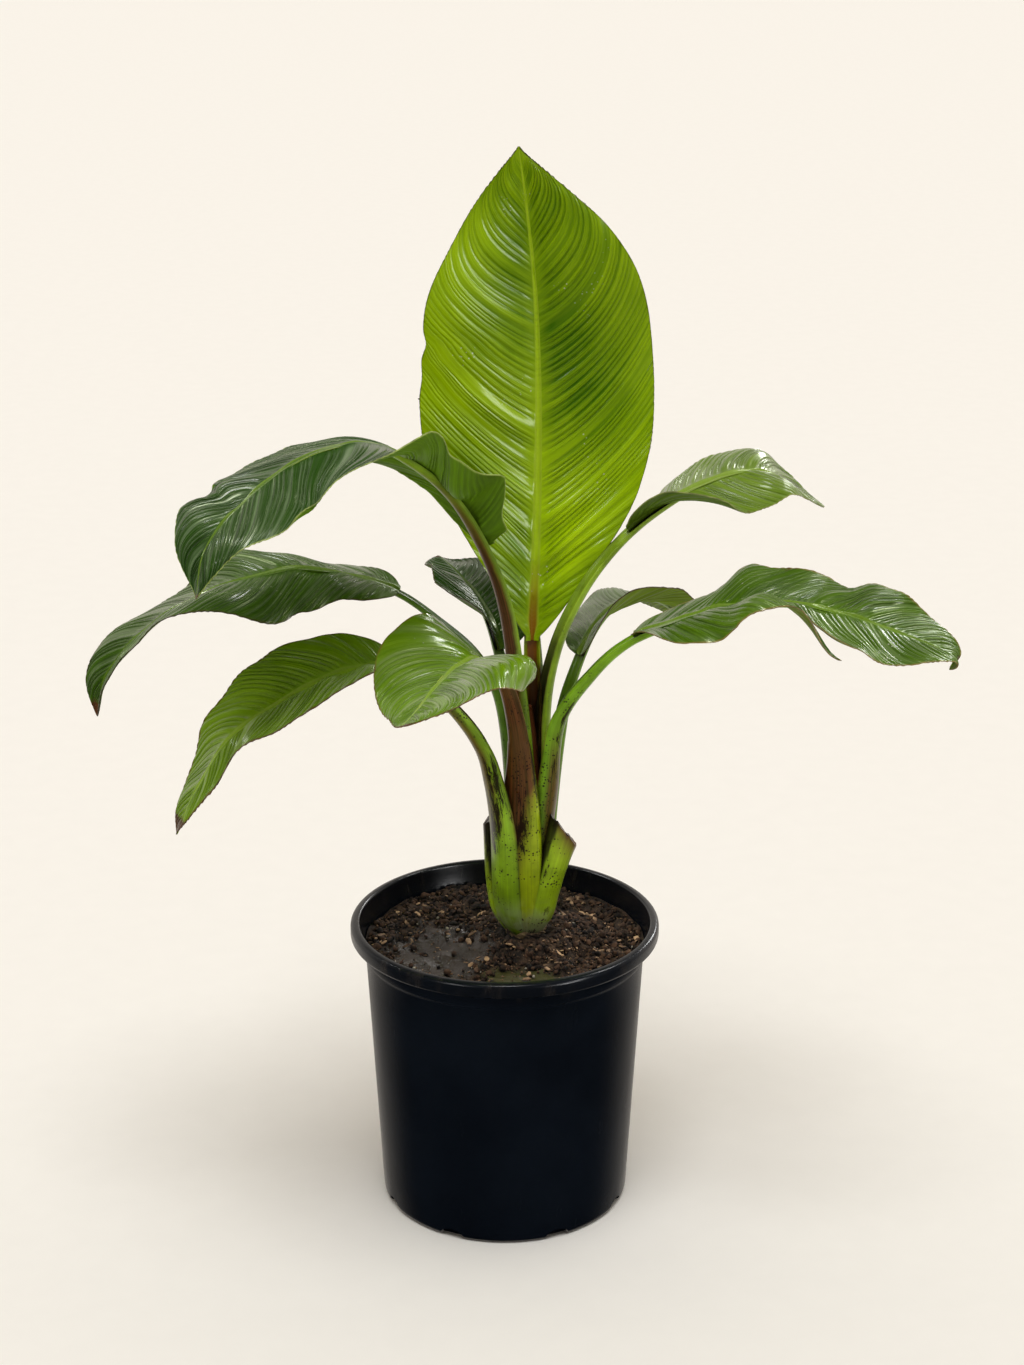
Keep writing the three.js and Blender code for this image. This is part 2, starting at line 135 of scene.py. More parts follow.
def newMaterial(name):
    material = bpy.data.materials.new(name)
    material.use_nodes = True
    nodes = material.node_tree.nodes
    nodes.clear()
    output = nodes.new("ShaderNodeOutputMaterial")
    shader = nodes.new("ShaderNodeBsdfPrincipled")
    material.node_tree.links.new(shader.outputs[0], output.inputs[0])
    return material, shader


def wire(source, target):  # a socket knows the node tree it is in
    source.id_data.links.new(source, target)


def feed(node, socket, value):  # a socket takes another node's output or a plain value
    if isinstance(value, bpy.types.NodeSocket):
        wire(value, node.inputs[socket])
    else:
        node.inputs[socket].default_value = value


def addNode(beside, kind, **inputs):  # a new node in the tree of the socket it goes beside
    node = beside.id_data.nodes.new("ShaderNode" + kind)
    for socket, value in inputs.items():
        feed(node, socket, value)
    return node


def mathNode(operation, first, second=0.0, third=0.0, clamp=False):
    node = addNode(first, "Math")
    node.operation = operation
    node.use_clamp = clamp
    for socket, value in enumerate([first, second, third]):
        feed(node, socket, value)
    return node.outputs[0]


times, plus, minus, over = (partial(mathNode, kind) for kind in ("MULTIPLY", "ADD", "SUBTRACT", "DIVIDE"))
scaled, larger, raised = (partial(mathNode, kind) for kind in ("MULTIPLY_ADD", "MAXIMUM", "POWER"))


def ramped(value, low, high, start=0.0, end=1.0):  # smooth step from start to end
    node = addNode(value, "MapRange")
    node.interpolation_type = "SMOOTHSTEP"
    for socket, entry in enumerate([value, low, high, start, end]):
        feed(node, socket, entry)
    return node.outputs[0]


def mixed(share, first, second):
    node = addNode(share, "Mix")
    node.data_type = "RGBA"
    feed(node, 0, share)
    for socket, colour in ((6, first), (7, second)):
        isCard = not isinstance(colour, bpy.types.NodeSocket)
        feed(node, socket, swatch(*colour) if isCard else colour)
    return node.outputs[2]


def noiseOn(coordinate, scale, detail=3.0, rough=0.55, distortion=0.0):
    settings = {"Scale": scale, "Detail": detail, "Roughness": rough, "Distortion": distortion}
    return addNode(coordinate, "TexNoise", Vector=coordinate, **settings).outputs["Fac"]


def cellsOn(coordinate, scale):
    return addNode(coordinate, "TexVoronoi", Vector=coordinate, Scale=scale).outputs["Distance"]


def stretched(coordinate, scale, move=(0, 0, 0)):
    return addNode(coordinate, "Mapping", Vector=coordinate, Scale=scale, Location=move).outputs[0]


def objectPlace(material):
    return material.node_tree.nodes.new("ShaderNodeTexCoord").outputs["Object"]


def split(vector):
    return addNode(vector, "SeparateXYZ", Vector=vector).outputs


def mapPlace(material, name):
    node = material.node_tree.nodes.new("ShaderNodeUVMap")
    node.uv_map = name
    return node.outputs[0]


def attributeOf(material, name):
    node = material.node_tree.nodes.new("ShaderNodeAttribute")
    node.attribute_name = name
    return node.outputs["Fac"]


def bumped(height, strength, distance, normal=None):
    node = addNode(height, "Bump", Strength=strength, Distance=distance, Height=height)
    if normal is not None:
        wire(normal, node.inputs["Normal"])
    return node.outputs[0]


def finish(shader, colour, roughness, normal=None, specular=None, coat=None):
    sockets = {"Base Color": colour, "Roughness": roughness, "Normal": normal,
               "Specular IOR Level": specular}
    if coat:
        sockets["Coat Weight"], sockets["Coat Roughness"] = coat
    for socket, value in sockets.items():
        if value is not None:
            feed(shader, socket, value)


def dressed(piece, *materials):
    piece.data.materials.clear()
    for material in materials:
        piece.data.materials.append(material)


# the plant's own sizes, in millimetres
stem = {
    "foot": (20, 0, 277.35),
    "sink": 14,
    "footSpread": 0.45,
    "drawnIn": 32,  # height over which it draws in, and to what share at the foot
    "footShare": 0.6,
    "clearRadius": 27,  # no grains lie nearer than this
}


def half(lift, curl, width, **extras):  # angles in degrees and shares of the width, from base to tip
    return {"lift": lift, "curl": curl, "width": width, **extras}


# the patches listed in a half paint light and shade into the blade's colour: paler where light shines
# through, deeper in shade
# shape: half width, where it is widest, how blunt the leaf is and how blunt its end
leaves = {
    "centre": {
        "azimuth": 90, "fork": 1.5, "bladeFrom": 2, "radii": [11, 7.8, 7.2],
        "shape": (114, 0.53, 0.57, 0.93),
        "path": [[22, 0, 413], [27, 6, 513], [26, 10, 571], [29, 18, 648], [31, 26, 732], [31, 30, 816],
                 [28, 28, 900], [20, 18, 978], [13, 4, 1031]],
        "left": half([23, 19, 15, 12, 14, 18, 10, 2, -8], [0, -12, -20, -22, -17],
            [0.5, 0.71, 0.89, 0.99, 0.98, 0.97, 1.03, 1, 1.08], swells=[(0.62, 0.022, -0.035),
            (0.55, 0.03, -0.02)], relief=0.5, shades=[(0.5, 0.7, 0.13, 0.45, 0.4),
            (0.7, 0.15, 0.16, 0.35, -0.3), (0.3, 0.8, 0.1, 0.35, -0.2), (0.82, 0.8, 0.12, 0.3, 0.15)]),
        "right": half([16, 12, 4, -6, -9, 3, 14, 17, 26], [0, -12, -26, -28, -22],
            [0.6, 0.75, 0.92, 0.97, 0.96, 0.95, 0.96, 1, 1], relief=0.85,
            shades=[(0.66, 0.1, 0.18, 0.45, -0.26), (0.5, 0.5, 0.2, 0.35, -0.12),
            (0.22, 0.5, 0.14, 0.5, 0.35), (0.42, 0.9, 0.1, 0.2, 0.15)]),
    },
    "upperLeft": {
        "azimuth": 208, "fork": 0.9, "bladeFrom": 3, "radii": [12, 10.5, 8.5],
        "shape": (80, 0.55, 0.5, 0.8),
        "path": [[21, -5, 426], [14, -8, 538], [3, -14, 617], [-16, -26, 675], [-44, -50, 729],
                 [-81, -85, 771], [-120, -118, 795], [-174, -150, 789], [-225, -180, 754],
                 [-253, -200, 720], [-261, -208, 680]],
        "left": half([60, 24, 46, 58, 6, 12, 38, 34, 19, 11, 8, 6, -8, -13, -16, -16, -15, -12, -8, -8, -7,
            -7, -6, 4, 16], [60, 60, 50, 10, -12, -10, -10], [1, 1.35, 1.1, 1.15, 1.08, 0.86, 0.8, 0.84,
            0.87, 0.9, 0.94, 1.05, 1.05, 1.03, 1, 1, 1, 1, 1, 1, 1, 1, 1, 1, 1],
            swells=[(0.605, 0.085, -0.2), (0.69, 0.03, 0.08)], hem=(0.69, 0.045, 0.8, 110)),
        "right": half([-22, -9, -24, -13, -14, -7, 16, 20, -10], [-20, -40, -10, 0, -30],
            [1, 1, 1, 1, 0.97, 0.95, 0.95, 1.06, 1.05], swells=[(0.75, 0.025, 0.1), (0.787, 0.017, -0.22),
            (0.84, 0.025, 0.09)]),
    },
    "midLeft": {
        "azimuth": 185, "fork": 1.05, "bladeFrom": 4, "radii": [9, 7.5, 5.8],
        "shape": (56, 0.45, 0.6, 0.6),
        "path": [[10, 8, 410], [-1, 8, 507], [-23, 5, 558], [-60, 0, 596], [-97, -5, 625], [-143, -12, 643],
                 [-188, -20, 652], [-233, -28, 645], [-274, -34, 633], [-326, -40, 603], [-366, -44, 558],
                 [-378, -46, 516]],
        "left": half([-20, -19, -44, -20, 8, 7, 3, 0, 0], [-40, -35, -5, 0, 0],
            [1.04, 1.07, 1.11, 1.05, 1, 1, 1, 1, 1]),
        "right": half([27, -9, 2, 14, -3, 0, 27, 49, 40], [-20, -15, -15, 10, 0],
            [1, 1, 1.03, 1.02, 0.98, 1, 1.03, 1.04, 1]),
    },
    "lowerLeft": {
        "azimuth": 192, "fork": 2.9, "bladeFrom": 5.6, "radii": [13.5, 11.5, 6.5],
        "shape": (56, 0.4, 0.5, 0.5),
        "path": [[2, -12, 314], [-1, -20, 391], [-8, -28, 445], [-19, -36, 486], [-48, -48, 530],
                 [-82, -58, 559], [-112, -66, 573], [-156, -78, 567], [-202, -92, 547], [-250, -106, 516],
                 [-279, -116, 472], [-299, -122, 429]],
        "left": half([9, 1, -3, -8, 1, -20, -13, 2, 20], [-20, -22, -4, 10, 0],
            [0.5, 0.68, 0.85, 0.92, 0.84, 0.73, 0.67, 0.63, 0.6]),
        "right": half([23, 29, 31, 30, 17, 11, 2, 17, -5], [-5, -14, -10, -5, -10],
            [1, 1, 1, 1, 1, 0.98, 0.97, 1, 1]),
    },
    "front": {
        "azimuth": 240, "fork": 1.25, "bladeFrom": 3.4, "radii": [13, 10, 6.5],
        "shape": (72, 0.4, 0.5, 0.5),
        "path": [[15, -22, 371], [15, -32, 467], [8, -46, 527], [-5, -64, 567], [-25, -92, 587],
                 [-43, -130, 592], [-60, -175, 589], [-74, -215, 583], [-87, -245, 579]],
        "left": half([14, 12, 10, 11, 11, 10, 15, 18, 14], [0, -26, -22, -10, -10], [1, 1],
            swells=[(0.27, 0.17, 0.36)], hem=(0.27, 0.2, 0.58, -125)),
        "right": half([23, 35, 14, -6, -17, -22, -26, -26, -20], [10, -5, -22, -20, 0],
            [1, 1, 0.98, 0.99, 0.97, 0.9, 0.8, 0.64, 0.55]),
    },
    "upperRight": {
        "azimuth": 20, "fork": 1.75, "bladeFrom": 5, "radii": [10, 8.2, 7],
        "shape": (52, 0.45, 0.6, 0.6),
        "path": [[34, 3, 412], [35, 0, 505], [45, -5, 565], [61, -8, 609], [83, -6, 647], [114, 6, 680],
                 [149, 26, 701], [183, 46, 714], [220, 64, 721], [252, 80, 716], [272, 91, 700],
                 [307, 100, 677]],
        "left": half([-25, -26, -5, 2, 8, 23, 21, 7, 15], [0, 0, -4, -12, -20], [1, 1]),
        "right": half([60, 30, -16, -31, -30, -7, -4, -6, -15], [-20, -12, -9, -12, -20],
            [1, 1, 1, 1, 1.03, 1.02, 1, 1, 1]),
    },
    "right": {
        "azimuth": -8, "fork": 1.6, "bladeFrom": 4.2, "radii": [12.5, 11.4, 7.5],
        "shape": (60, 0.5, 0.5, 0.5),
        "path": [[30, -8, 354], [39, -16, 430], [47, -26, 504], [78, -34, 555], [111, -42, 589],
                 [152, -50, 610], [202, -60, 627], [258, -72, 635], [311, -84, 626], [360, -94, 611],
                 [402, -102, 594], [401, -104, 581]],
        "left": half([14, -2, 19, 10, 10, 39, 20, 23, -3], [0, 0, 0, -2, -10],
            [0.96, 0.98, 1.05, 1.08, 1.06, 0.94, 0.91, 0.98, 1], ripple=[2.5, 6, 0.3],
            swells=[(0.33, 0.045, 0.13), (0.48, 0.03, -0.06), (0.555, 0.02, 0.06), (0.63, 0.035, -0.2),
            (0.77, 0.04, 0.08)]),
        "right": half([26, -19, -2, 25, -20, -22, -21, 1, 18], [-10, -27, -27, -18, -10],
            [1, 1.06, 1.07, 1.05, 1.06, 1, 1, 1.02, 1], ripple=[2.5, 6, 0], swells=[(0.75, 0.04, 0.08)],
            tear=(0.485, 0.4, 11)),
    },
    "backRight": {
        "azimuth": 40, "fork": 0.95, "bladeFrom": 2.4, "radii": [8.5, 7.5, 6],
        "shape": (50, 0.45, 0.5, 0.5),
        "path": [[39, 14, 387], [53, 24, 486], [65, 34, 531], [82, 52, 566], [104, 80, 583],
                 [133, 120, 580], [160, 160, 560], [177, 195, 531]],
        "left": half([7, -19, -16, -10, 0, -7, -11, -6, 10], [0, -9, -6, 1, 0], [1.08, 1, 1]),
        "right": half([28, 40, 22, 21, 15, 12, 12, 10, 7], [20, 28, 38, 34, 0], [1, 1.04, 1]),
    },
    "backLeft": {
        "azimuth": 140, "fork": 0.95, "bladeFrom": 2.4, "radii": [9, 7.5, 6],
        "shape": (50, 0.45, 0.5, 0.5),
        "path": [[20, 12, 388], [10, 24, 486], [-1, 38, 537], [-10, 62, 564], [-22, 100, 579],
                 [-39, 142, 589], [-54, 171, 596], [-66, 193, 600]],
        "left": half([45, 36, 10, 19, 26, 16, 5, 0, 0], [-20, -10, 0], [0.95, 0.95]),
        "right": half([19, 20, 22, 23, 22, 18, 10, -10, -30], [0, -11, -8], [1, 1]),
    },
    "back": {
        "azimuth": 112, "fork": 1, "bladeFrom": 2.4, "radii": [9, 8, 6.5], "shape": (60, 0.45, 0.5, 0.8),
        "path": [[29, 14, 387], [32, 30, 484], [26, 48, 579], [15, 74, 661], [-4, 110, 720],
                 [-32, 155, 753], [-60, 195, 763], [-86, 228, 753]],
        "left": half([20, 0, -25, -30, -20], [0, -20, -20, 0], [1, 1, 0.9, 0.7, 0.6]),
        "right": half([20, 0, -25, -30, -20], [0, -20, -20, 0], [1, 1]),
    },
}


def keyed(keys, t):  # smooth curve through evenly spaced keys
    keys = np.asarray(keys, float)
    last = len(keys) - 1
    place = np.clip(np.asarray(t, float), 0, 1) * last
    i = np.minimum(place.astype(int), last - 1)
    f = place - i
    padded = np.concatenate([[2 * keys[0] - keys[1]], keys, [2 * keys[-1] - keys[-2]]])
    a, b, c, d = (padded[i + k] for k in range(4))
    if keys.ndim > 1:
        f = f[..., None]
    square = 2 * a - 5 * b + 4 * c - d
    cube = 3 * b - a - 3 * c + d
    return 0.5 * (2 * b + (c - a) * f + square * f**2 + cube * f**3)


def fullPath(leaf):
    footX, footY, footZ = stem["foot"]
    x, y, _ = leaf["path"][0]
    spread = stem["footSpread"]
    foot = [footX + spread * (x - footX), footY + spread * (y - footY), footZ - stem["sink"]]
    return np.array([foot, *leaf["path"]], float)


def placesOn(points, knots):
    return keyed(points, np.asarray(knots, float) / (len(points) - 1))


def evenKnots(points, start, end, count):  # knots at even lengths, and the whole length
    fine = np.linspace(start, end, 401)
    steps = np.linalg.norm(np.diff(placesOn(points, fine), axis=0), axis=1)
    lengths = np.concatenate([[0], np.cumsum(steps)])
    return np.interp(np.linspace(0, lengths[-1], count + 1), lengths, fine), lengths[-1]


def unit(vectors):
    return vectors / np.linalg.norm(vectors, axis=-1, keepdims=True)


def framesOn(points, knots, azimuth):  # along, across and upward at each knot
    ahead = placesOn(points, np.minimum(knots + 0.01, len(points) - 1))
    behind = placesOn(points, np.maximum(knots - 0.01, 0))
    along = unit(ahead - behind)
    angle = math.radians(azimuth)
    level = np.array([-math.sin(angle), math.cos(angle), 0])
    across = unit(level - along * (along @ level)[:, None])
    return along, across, np.cross(along, across)


bladeGrowth = {
    "leastMargin": 1.2,
    "rowStep": 1.05,  # between rows of the weave of veins
    "columns": 17,  # from the rib to the margin
    "ridgeSpacing": 8.0,
    "ridgeHeight": 0.75,
    "marginWave": 1.6,
    "swell": 1.1,
    "thickness": 0.9,
    "ribWidth": 0.62,  # of the stalk's end radius
    "channel": 1.5,
}


def outlineAt(leaf, t):
    _, widest, blunt, bluntEnd = leaf["shape"]
    skew = math.log(0.5) / math.log(widest)
    ending = np.clip((t - 0.65) / 0.35, 0, 1)
    power = blunt + (bluntEnd - blunt) * ending
    drawnTip = 1 - 0.34 * np.exp(-np.clip(1 - t, 0, 1) / 0.028)
    return np.maximum(np.sin(np.pi * np.clip(t, 0, 1) ** skew), 0) ** power * drawnTip


def halfWidthAt(leaf, half, t):
    width = leaf["shape"][0] * outlineAt(leaf, t) * keyed(half["width"], t)
    for place, spread, share in half.get("swells", []):
        width = width * (1 + share * np.exp(-(((t - place) / spread) ** 2)))
    return np.maximum.reduce([
        width,
        np.full_like(width, bladeGrowth["leastMargin"]),
        leaf["radii"][2] * (1 - 8 * t),
    ])


def ribRadiusAt(leaf, t):
    return leaf["radii"][2] * bladeGrowth["ribWidth"] * (1 - 0.97 * t) ** 0.8 + 0.35


def veinSweep(leaf, length, p, e):  # where a vein that leaves the rib at p has got to at e
    reach = 0.95 * leaf["shape"][0] / length * np.clip(p / 0.16, 0, 1)
    share = np.maximum(reach / np.maximum(1 - p, 1e-4), 1e-4)
    share = (share**-3.0 + 0.94**-3.0) ** (-1 / 3)
    nearTip = smoothStep(p, 0.6, 0.95)
    body = 0.52 * e + 0.48 * e**2
    return p + (1 - p) * share * (body * (1 - nearTip) + np.maximum(e, 1e-6) ** 0.6 * nearTip)


def sampled(rows, t):  # rows at even steps of 0 to 1, read in between
    place = np.clip(t, 0, 1) * (len(rows) - 1)
    i = np.minimum(place.astype(int), len(rows) - 2)
    f = (place - i)[..., None]
    return rows[i] * (1 - f) + rows[i + 1] * f


def summed(heights, e):  # running sum along each vein, from the rib out
    steps = (heights[:, 1:] + heights[:, :-1]) / 2 * np.diff(e, axis=1)
    return np.concatenate([np.zeros((len(e), 1)), np.cumsum(steps, axis=1)], 1)


def bladeSide(leaf, half, side, stations, length, seed):
    grow = bladeGrowth
    rowCount = int(round(length / grow["rowStep"]))
    p = np.linspace(0, 1, rowCount + 1)[:, None]
    ribShare = ribRadiusAt(leaf, p) / halfWidthAt(leaf, half, p)
    innerSteps = np.array([0, 0.4, 0.75, 1.0, 1.35])  # columns over the rib, 1 at its edge
    outerSteps = np.linspace(0, 1, grow["columns"] - 4)[1:] ** 0.9
    ribEdge = np.minimum(innerSteps[-1] * ribShare, 0.42)
    e = np.concatenate([innerSteps / innerSteps[-1] * ribEdge, ribEdge + (1 - ribEdge) * outerSteps], 1)
    t = veinSweep(leaf, length, p + 0 * e, e)
    width = halfWidthAt(leaf, half, t)
    lift = np.radians(keyed(half["lift"], t))
    bend = np.radians(keyed(half["curl"], t))
    slope = lift - bend / 2 + bend * e
    if "hem" in half:  # the margin rolls over
        place, spread, start, turn = half["hem"]
        rolled = smoothStep(e, start, 1.0) * np.exp(-(((t - place) / spread) ** 2))
        slope = slope + math.radians(turn) * rolled
    out = width * summed(np.cos(slope), e)
    rise = width * summed(np.sin(slope), e)
    if "tear" in half:  # the lamina beyond the tear is lifted, the strip before it hangs
        place, start, gap = half["tear"]
        opening = gap * smoothStep(e, start, 1.0) * np.exp(-np.abs(p - place) / 0.07)
        rise += np.where(p > place, opening, -0.45 * opening)
    if "ripple" in half:
        height, waves, phase = half["ripple"]
        rise += height * np.sin(2 * np.pi * (waves * t + phase)) * e**2 * np.sin(np.pi * t)
    rise += grow["marginWave"] * wander(t * length / 130, seed, 6) * e**3 * np.sin(np.pi * t) ** 0.5
    swell = wander(p * length / 90 + 0.25 * e, seed + 4, 5) * np.sin(np.pi * np.sqrt(e))
    rise += grow["swell"] * swell * np.clip(np.minimum(p / 0.1, (1 - p) / 0.2), 0, 1) * (width > 14)
    ribGap = np.minimum(e / np.maximum(ribEdge, 1e-6), 1)  # 0 on the rib's axis, 1 past its edge
    channel = np.interp(ribGap * innerSteps[-1], innerSteps, [-1, -0.72, -0.05, 0.28, 0])
    phase = p * length / grow["ridgeSpacing"] + 0.5 * wander(p * length / 70, seed + 1, 6)
    groove = (0.5 - 0.5 * np.cos(2 * np.pi * phase)) ** 2.2  # narrow, with broad crests between
    depth = 0.75 + 0.3 * wander(p * length / 25, seed + 2, 6)
    ridge = (1 - 2 * groove) * depth + 0.3 * wander(p * length / 18, seed + 3, 9)
    share = np.clip((e - ribEdge) / 0.1, 0, 1) * (1 - 0.6 * e**3)
    fade = np.clip(np.minimum(p / 0.06, (1 - p) / 0.12), 0, 1) * np.clip(width / 22, 0.15, 1)
    bumpUp = grow["ridgeHeight"] * half.get("relief", 1) * ridge * share * fade
    bumpUp += grow["channel"] * channel * ribShareHeight(leaf, t)
    centre, across, upward = (sampled(rows, t) for rows in stations)
    normal = np.cos(slope)[..., None] * upward - side * np.sin(slope)[..., None] * across
    place = centre + side * out[..., None] * across + rise[..., None] * upward + bumpUp[..., None] * normal
    return {
        "place": place,
        "across": side * e,
        "vein": p * length + 0 * e,
        "phase": phase + 0 * e,
        "relief": share * fade * half.get("relief", 1),
        "shade": paintedLightAt(half, t, e),
        "ribGap": ribGap,
        "margin": (1 - e) * width,
        "along": t,
    }


def paintedLightAt(half, t, e):  # painted light and shade: paler patches where light shines through the leaf, deeper ones in shade; along, across, their spreads and how much
    total = 0 * t
    for along, across, spreadAlong, spreadAcross, amount in half.get("shades", []):
        total += amount * np.exp(-(((t - along) / spreadAlong) ** 2) - ((e - across) / spreadAcross) ** 2)
    return total


def ribShareHeight(leaf, t):
    return ribRadiusAt(leaf, t) / ribRadiusAt(leaf, 0)


def growBlade(name, leaf, seed):
    path = fullPath(leaf)
    knots, length = evenKnots(path, leaf["bladeFrom"] + 1, len(path) - 1, 320)
    _, across, upward = framesOn(path, knots, leaf["azimuth"])
    stations = (placesOn(path, knots), across, upward)
    left = bladeSide(leaf, leaf["left"], 1, stations, length, seed)
    right = bladeSide(leaf, leaf["right"], -1, stations, length, seed + 10)
    whole = {key: np.concatenate([right[key][:, :0:-1], left[key]], 1) for key in left}
    rows, columns = whole["across"].shape
    index = np.arange(rows * columns).reshape(rows, columns)
    corners = [index[:-1, :-1], index[1:, :-1], index[1:, 1:], index[:-1, 1:]]
    faces = np.stack([corner.ravel() for corner in corners], 1)
    for half, side in ((leaf["left"], 1), (leaf["right"], -1)):
        if "tear" in half:
            place, start, _ = half["tear"]
            row = faces[:, 0] // columns
            reach = whole["across"].ravel()[faces[:, 0]] * side
            faces = faces[(row != int(place * (rows - 1))) | (reach < start)]
    faces = faces.tolist()
    blade = meshPiece(name + "Lamina", whole["place"].reshape(-1, 3) * mm, faces, 75)
    writeMap(blade, "veinMap", whole["across"].ravel(), whole["vein"].ravel() * mm)
    for key in ("phase", "relief", "shade", "ribGap", "margin", "along"):
        scale = mm if key == "margin" else 1
        writeAttribute(blade, key, whole[key].ravel() * scale)
    return blade


def thicken(blade, materials):
    dressed(blade, *materials)
    addModifier(
        blade, "SOLIDIFY", thickness=bladeGrowth["thickness"] * mm, offset=-1,
        material_offset=1, material_offset_rim=2, use_quality_normals=True,
    )
    smoothed(blade, 75)


# stalks run from the sheath at the stem's foot to the end of the midrib
stalkGrowth = {
    "steps": (30, 26, 60),  # stations on the sheath, the stalk and the midrib
    "outerPoints": 27,
    "innerPoints": 21,
}

plainWings = ([4, 4, 2], [4, 4, 2])
sheaths = {  # half breadth and depth at the foot, the middle and the fork, then the wings past the sides
    "centre": ([12, 11, 8], [11, 10, 7.8], plainWings),
    "upperLeft": ([15, 15, 11.2], [11, 11, 10.5], plainWings),
    "midLeft": ([15, 13, 8], [11, 10, 7.5], plainWings),
    "lowerLeft": ([19, 22, 12], [12, 12.5, 11.3], ([8, 7, 3], [15, 10, 3])),
    "front": ([17, 22, 11.5], [11.5, 12.5, 10], ([5, 6, 2], [6, 9, 3])),
    "upperRight": ([15, 13, 8.8], [11, 10, 8.2], plainWings),
    "right": ([19, 17, 12], [12, 12.5, 11.2], ([12, 12, 5], [8, 6, 3])),
    "backRight": ([16, 13, 8], [11, 10, 7.5], plainWings),
    "backLeft": ([17, 15, 8], [11, 10, 7.5], plainWings),
    "back": ([17, 15, 8.5], [11, 10, 8], plainWings),
}


def crescent(breadth, depth, wall, channel, wings):  # open towards the leaf's upper side, with two wings
    outer = np.linspace(-1.3, 1.3, stalkGrowth["outerPoints"])
    inner = np.linspace(1.3, -1.3, stalkGrowth["innerPoints"])
    turn = np.concatenate([outer, inner])
    isInner = np.concatenate([np.zeros(len(outer)), np.ones(len(inner))])
    angle = np.clip(turn, -1, 1) * np.pi / 2
    past = np.clip((np.abs(turn) - 1) / 0.3, 0, 1)  # 0 to 1 over a wing
    reach = np.where(turn < 0, *wings)
    thin = wall * isInner * (1 - 0.75 * past)
    across = (breadth - thin) * np.sin(angle) * (1 - 0.14 * past**2)
    down = (depth + (channel - depth) * isInner) * np.cos(angle) - reach * past
    return across, -down, turn, isInner, smoothStep(past, 0.55, 1.0)


def growStalk(name, leaf, sheath):
    sheathBreadth, sheathDepth, sheathWings = sheath
    path = fullPath(leaf)
    fork = leaf["fork"] + 1
    bladeFrom = leaf["bladeFrom"] + 1
    counts = stalkGrowth["steps"]
    parts = [(0, fork, counts[0]), (fork, bladeFrom, counts[1]), (bladeFrom, len(path) - 1, counts[2])]
    knots, lengths, stageOf, shareOf = [], [], [], []
    reached = 0
    for stage, (start, end, count) in enumerate(parts):
        if stage == 1 and fork + 0.05 > bladeFrom:
            continue
        partKnots, partLength = evenKnots(path, start, end, count)
        keep = partKnots if stage == 0 else partKnots[1:]
        share = np.linspace(0, 1, count + 1)[0 if stage == 0 else 1:]
        knots.extend(keep)
        lengths.extend(reached + share * partLength)
        stageOf.extend([stage] * len(keep))
        shareOf.extend(share)
        reached += partLength
    knots = np.array(knots)
    centre = placesOn(path, knots)
    _, across, upward = framesOn(path, knots, leaf["azimuth"])
    _, forkRadius, endRadius = leaf["radii"]
    rings, marks = [], []
    for i, (stage, share) in enumerate(zip(stageOf, shareOf)):
        if stage == 0:
            breadth = keyed(sheathBreadth, share)
            depth = keyed(sheathDepth, share)
            wings = [float(keyed(reach, share)) for reach in sheathWings]
            wall = 4 - 1.4 * share
            channel = depth - wall - (depth * 0.42 - wall) * share**3
        elif stage == 1:
            radius = forkRadius + (endRadius - forkRadius) * share
            breadth, depth = radius * 1.04, radius
            wings = [last[-1] * (1 - share) for last in sheathWings]
            wall = 2.6 - 0.8 * share
            channel = radius * (0.58 - 0.3 * share)
        else:
            radius = endRadius * (1 - 0.985 * share) ** 0.8 + 0.2
            breadth, depth = radius * 1.02, radius * (1 - 0.1 * share)
            wings, wall = [0, 0], radius * 0.24
            channel = radius * 0.28
        x, y, turn, isInner, lip = crescent(float(breadth), float(depth), float(wall), float(channel), wings)
        drop = 0.9 * min(max(stage + share - 1, 0), 1)
        rings.append(narrowed(centre[i] + x[:, None] * across[i] + (y - drop)[:, None] * upward[i]))
        whole = np.ones(len(x))
        marks.append(np.stack([turn, whole * lengths[i] * mm, whole * (stage + share), isInner, lip], 1))
    stalk = loft(name + "Petiole", rings, 55)
    markSkin(stalk, marks)
    return stalk


def narrowed(ring):
    foot = np.array(stem["foot"])
    low = 1 - np.clip((ring[:, 2:] - foot[2]) / stem["drawnIn"], 0, 1)
    share = 1 - (1 - stem["footShare"]) * low**2
    return np.concatenate([foot[:2] + (ring[:, :2] - foot[:2]) * share, ring[:, 2:]], 1)


def markSkin(piece, marks):  # turn and length for the skin map, then stage, inside and lip
    flat = np.concatenate([*marks, marks[0].mean(0)[None], marks[-1].mean(0)[None]])
    writeMap(piece, "skinMap", flat[:, 0], flat[:, 1])
    for column, name in enumerate(["stage", "inside", "lip"], 2):
        writeAttribute(piece, name, flat[:, column])


def loft(name, rings, smoothAngle):  # closed rings joined to one skin, with a fan over each end
    rings = [np.asarray(ring) * mm for ring in rings]
    count = len(rings[0])
    places = np.concatenate([*rings, [rings[0].mean(0)], [rings[-1].mean(0)]])
    faces = []
    for i in range(len(rings) - 1):
        for j in range(count):
            a, b = i * count + j, i * count + (j + 1) % count
            faces.append((a, b, b + count, a + count))
    first, last = len(places) - 2, len(places) - 1
    top = (len(rings) - 1) * count
    for j in range(count):
        k = (j + 1) % count
        faces.append((k, j, first))
        faces.append((top + j, top + k, last))
    piece = meshPiece(name, places, faces, smoothAngle)
    turnOutward(piece)
    smoothed(piece, smoothAngle)
    return piece


def turnOutward(piece):
    mesh = bmesh.new()
    mesh.from_mesh(piece.data)
    bmesh.ops.recalc_face_normals(mesh, faces=mesh.faces)
    if mesh.calc_volume(signed=True) < 0:
        bmesh.ops.reverse_faces(mesh, faces=mesh.faces)
    mesh.to_mesh(piece.data)
    mesh.free()


